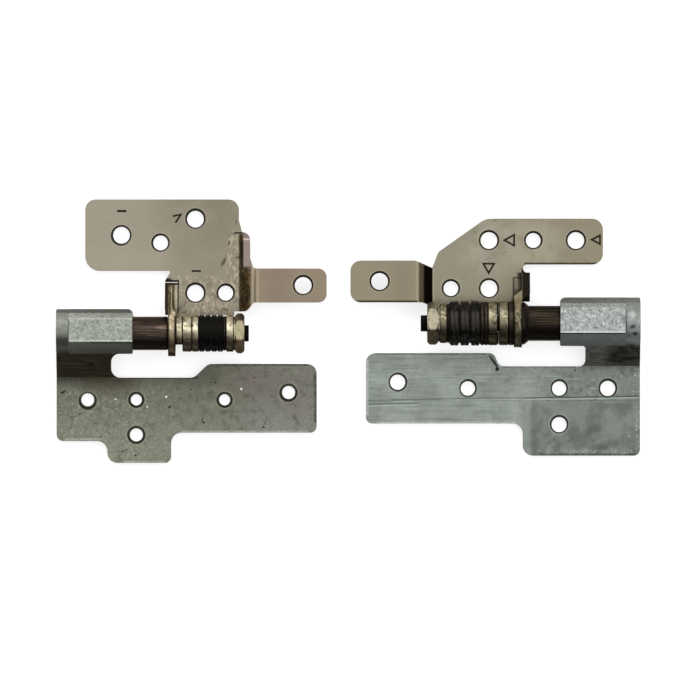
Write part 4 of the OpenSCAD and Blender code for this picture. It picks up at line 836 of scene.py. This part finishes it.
def stamped_line(name, hinge, points, width, top, closed):
    """A stamped line as a low mitred ridge through points (u, v), on a face at height top."""
    mesh = bmesh.new()
    count = len(points)
    rows = []
    for i, point in enumerate(points):
        here = Vector(point)
        before = Vector(points[i - 1]) if closed or i > 0 else here * 2 - Vector(points[1])
        after = Vector(points[(i + 1) % count]) if closed or i < count - 1 else here * 2 - before
        ahead = (after - here).normalized()
        behind = (here - before).normalized()
        way = (ahead + behind).normalized()
        side = Vector((-way.y, way.x)) * (width / 2) / max(MITRE_LIMIT, way.dot(ahead))
        row = []
        for share, lift in ((-1, 0), (-MARK_TOP, MARK_PROUD), (MARK_TOP, MARK_PROUD), (1, 0)):
            place = here + side * share
            row.append(mesh.verts.new(hinge.point(place.x, place.y, top + lift)))
        rows.append(row)
    for i in range(count if closed else count - 1):
        first, second = rows[i], rows[(i + 1) % count]
        for j in range(3):
            mesh.faces.new((first[j], first[j + 1], second[j + 1], second[j]))
    new_piece(name, mesh, MARK, hinge.side + "_screen")


stamped_line("left_mark_dash_wing", LEFT, [(11.2, 22.65), (12.9, 22.65)], 0.42, LEFT_SHEET, False)
stamped_line("left_mark_arrow", LEFT, [(21.5, 21.7), (23.0, 22.0), (22.0, 20.5)],
    0.36, LEFT_SHEET, False)
stamped_line("left_mark_dash_body", LEFT, [(25.0, 11.55), (26.7, 11.55)], 0.34, LEFT_SHEET, False)
stamped_line("right_mark_triangle_body", RIGHT, [(25.1, 15.4), (23.3, 16.4), (23.3, 14.4)],
    0.36, RIGHT_SHEET, True)
stamped_line("right_mark_triangle_wing", RIGHT, [(8.93, 15.5), (7.4, 16.3), (7.4, 14.7)],
    0.36, RIGHT_SHEET, True)
stamped_line("right_mark_triangle_low", RIGHT, [(29.0, 11.05), (27.0, 11.05), (28.0, 9.35)],
    0.36, RIGHT_SHEET, True)


# Thread on the shaft ends that stand out of the nuts, in millimetres and, for the crest's
# half width at its foot and at its top, shares of the pitch

THREAD_SPAN = {"left": (34.81, 35.61), "right": (39.41, 40.61)}
THREAD_R = 2.0
THREAD_PROUD = 0.06
THREAD_SUNK = 0.01
THREAD_PITCH = 0.7
THREAD_FOOT = 0.3
THREAD_CREST = 0.09
THREAD_FLAT = 1.5
THREAD_STEPS = 48
FROM_NUT = 0.02
FROM_END = 0.16


def thread(hinge):
    """A helical ridge round the shaft end, broken where the two flats cut it."""
    mesh = bmesh.new()
    start, end = THREAD_SPAN[hinge.side]
    foot, crest = THREAD_PITCH * THREAD_FOOT, THREAD_PITCH * THREAD_CREST
    first, last = start + foot + FROM_NUT, end - foot - FROM_END
    count = int(THREAD_STEPS * (last - first) / THREAD_PITCH)
    rows = []
    for i in range(count + 1):
        angle = math.tau * i / THREAD_STEPS
        across = THREAD_R * math.cos(angle)
        if abs(across) > THREAD_FLAT:
            rows.append(None)
            continue
        middle = first + THREAD_PITCH * i / THREAD_STEPS
        row = []
        for shift, lift in ((-foot, -THREAD_SUNK), (-crest, THREAD_PROUD),
                (crest, THREAD_PROUD), (foot, -THREAD_SUNK)):
            share = (THREAD_R + lift) / THREAD_R
            place = hinge.point(middle + shift, across * share)
            place.z = hinge.axis_z + THREAD_R * math.sin(angle) * share * MM
            row.append(mesh.verts.new(place))
        rows.append(row)
    for here, after in zip(rows, rows[1:]):
        if here and after:
            for j in range(3):
                mesh.faces.new((here[j], here[j + 1], after[j + 1], after[j]))
    new_piece(hinge.side + "_thread", mesh, SHAFT[hinge.side], "bases")


thread(LEFT)
thread(RIGHT)


# Black rings in the wedges between the disc springs, standing in for the shade there; the springs
# are SPRING_T thick (mm)

SPRING_T = {"left": 0.42, "right": 0.7}
SPRING_BORE_R = 2.1
SHADE_BORE_R = 2.2
SHADE_SAG = 0.3
SHADE_SEGMENTS = 96


# Near-black material for the rings that stand in for shade between the springs
def gap_shade_material(hinge):
    s = Shader(hinge.side + "_gap_shade_black", hinge, metallic=0.0, specular=0.25)
    thick = s.noise(0.7, 3, 0.6, offset=8.0)
    s.bump(thick, 0.03)
    s.colour = s.mix(s.step(thick, 0.4, 0.7), (9, 8, 7), (24, 21, 17))
    return s.finish(0.38)


def spring_gap_shade(hinge, count, below_rim):
    """Black rings standing in for shade, with a hollow outer face, one in each wedge of the stack.
    """
    mesh = bmesh.new()
    for i in range(0, count + 1, 2):
        edges = []
        for index, end in ((i, 1), (i + 1, 0)):
            if 1 <= index <= count:
                low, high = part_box("%s_disc_spring_%d" % (hinge.side, index))
                near, far = sorted(abs(x - hinge.out) / MM for x in (low.x, high.x))
                radius = (high.y - low.y) / 2 / MM
                cone = far - near - SPRING_T[hinge.side]
                edges.append((far, -cone) if end else (near, cone))
            else:
                edges.append(None)
        if edges[0] is None:
            edges[0] = (edges[1][0], 0)
        if edges[1] is None:
            edges[1] = (edges[0][0], 0)
        outer = radius - below_rim
        share = (outer - SPRING_BORE_R) / (radius - SPRING_BORE_R)
        left = edges[0][0] + edges[0][1] * share
        right = edges[1][0] + edges[1][1] * share
        middle = (left + right) / 2
        sag = min(SHADE_SAG, (right - left) * 0.5)
        profile = [(edges[0][0], SHADE_BORE_R), (left, outer),
            ((left + middle) / 2, outer - sag * 0.75), (middle, outer - sag),
            ((right + middle) / 2, outer - sag * 0.75), (right, outer),
            (edges[1][0], SHADE_BORE_R)]
        rings = []
        for k in range(SHADE_SEGMENTS):
            angle = math.tau * k / SHADE_SEGMENTS
            row = []
            for u, r in profile:
                wave = 1 + 0.008 * math.sin(angle * 5 + i)
                wave += 0.006 * math.sin(angle * 11 + 2 * i)
                place = hinge.point(u, r * wave * math.cos(angle))
                place.z = hinge.axis_z + r * wave * math.sin(angle) * MM
                row.append(mesh.verts.new(place))
            rings.append(row)
        for k in range(SHADE_SEGMENTS):
            here, after = rings[k], rings[(k + 1) % SHADE_SEGMENTS]
            for j in range(len(profile)):
                n = (j + 1) % len(profile)
                mesh.faces.new((here[j], here[n], after[n], after[j]))
    piece = new_piece(hinge.side + "_spring_gap_shade", mesh, gap_shade_material(hinge),
        "bases")
    for polygon in piece.data.polygons:
        polygon.use_smooth = True


# Black rings standing in for shade between the springs
spring_gap_shade(LEFT, 8, 0.1)
spring_gap_shade(RIGHT, 6, 0.25)


# Floor, lights and camera, in metres and watts

WHITE = (255, 255, 255)
FLOOR_GREY = (0.5, 0.5, 0.5, 1)
FLOOR_GLOW = 0.72
FLOOR_HALF = 3
FLOOR_GAP = 0.05 * MM
STUDIO_LEAN = (0, 0.35, 1)
STUDIO_RISE = (0.1, 1.0)
HORIZON, OVERHEAD = 0.1, 0.95
CLIP = (0.01, 50)
LAMPS = (
    ("key", (-0.12, 0.62, 0.6), (1.1, 0.6), 3.8),
    ("fill", (0.5, -0.1, 0.6), (0.6, 0.6), 1.2),
)


def floor_material():
    """White for the camera where it is lit, still darker where a shadow falls."""
    material = bpy.data.materials.new("floor_white")
    material.use_nodes = True
    tree = material.node_tree
    tree.nodes.clear()
    diffuse = tree.nodes.new("ShaderNodeBsdfDiffuse")
    diffuse.inputs["Color"].default_value = FLOOR_GREY
    path = tree.nodes.new("ShaderNodeLightPath").outputs
    seen = path["Is Camera Ray"]
    for ray in ("Is Glossy Ray", "Is Transmission Ray"):
        either = tree.nodes.new("ShaderNodeMath")
        either.operation = "MAXIMUM"
        seen = fill(tree, either, {0: seen, 1: path[ray]})[0]
    share = tree.nodes.new("ShaderNodeMath")
    share.operation = "MULTIPLY"
    strength = fill(tree, share, {0: seen, 1: FLOOR_GLOW})[0]
    glow = tree.nodes.new("ShaderNodeEmission")
    fill(tree, glow, {"Color": WHITE, "Strength": strength})
    both = tree.nodes.new("ShaderNodeAddShader")
    fill(tree, both, {0: diffuse.outputs[0], 1: glow.outputs[0]})
    fill(tree, tree.nodes.new("ShaderNodeOutputMaterial"), {0: both.outputs[0]})
    return material


def make_floor():
    mesh = bmesh.new()
    bmesh.ops.create_grid(mesh, x_segments=8, y_segments=8, size=FLOOR_HALF)
    data = bpy.data.meshes.new("floor")
    mesh.to_mesh(data)
    mesh.free()
    data.materials.append(floor_material())
    floor = bpy.data.objects.new("floor", data)
    floor.location.z = -FLOOR_GAP
    bpy.context.scene.collection.objects.link(floor)


def make_world():
    """Soft studio: bright overhead and towards the back, dim near the horizon."""
    world = bpy.data.worlds.new("studio")
    bpy.context.scene.world = world
    world.use_nodes = True
    tree = world.node_tree
    tree.nodes.clear()
    lean = tree.nodes.new("ShaderNodeVectorMath")
    lean.operation = "DOT_PRODUCT"
    way = tree.nodes.new("ShaderNodeTexCoord").outputs["Generated"]
    height = fill(tree, lean, {0: way, 1: STUDIO_LEAN})["Value"]
    ramp = tree.nodes.new("ShaderNodeMapRange")
    ramp.interpolation_type = "SMOOTHSTEP"
    strength = fill(tree, ramp, {"Value": height, "From Min": STUDIO_RISE[0],
        "From Max": STUDIO_RISE[1], "To Min": HORIZON, "To Max": OVERHEAD})[0]
    light = fill(tree, tree.nodes.new("ShaderNodeBackground"),
        {"Color": WHITE, "Strength": strength})[0]
    white = fill(tree, tree.nodes.new("ShaderNodeBackground"), {"Color": WHITE})[0]
    for_camera = tree.nodes.new("ShaderNodeLightPath").outputs["Is Camera Ray"]
    mixed = tree.nodes.new("ShaderNodeMixShader")
    fill(tree, mixed, {"Fac": for_camera, 1: light, 2: white})
    fill(tree, tree.nodes.new("ShaderNodeOutputWorld"), {0: mixed.outputs[0]})


def area_light(name, place, size, power):
    """A soft rectangular lamp that looks at the middle of the pair."""
    data = bpy.data.lights.new(name, "AREA")
    data.shape = "RECTANGLE"
    data.size, data.size_y = size
    data.energy = power
    lamp = bpy.data.objects.new(name, data)
    lamp.location = place
    lamp.rotation_euler = (-Vector(place)).to_track_quat("-Z", "Y").to_euler()
    bpy.context.scene.collection.objects.link(lamp)


def make_camera():
    data = bpy.data.cameras.new("camera")
    data.sensor_width = SENSOR
    data.lens = SENSOR * CAMERA_DISTANCE / VIEW_WIDTH
    data.clip_start, data.clip_end = CLIP
    camera = bpy.data.objects.new("camera", data)
    x, y, z = VIEW_CENTRE
    camera.location = (x * MM, y * MM, (z + CAMERA_DISTANCE) * MM)
    bpy.context.scene.collection.objects.link(camera)
    bpy.context.scene.camera = camera


make_floor()
make_world()
for lamp in LAMPS:
    area_light(*lamp)
make_camera()
bpy.context.scene.view_settings.view_transform = "Standard"
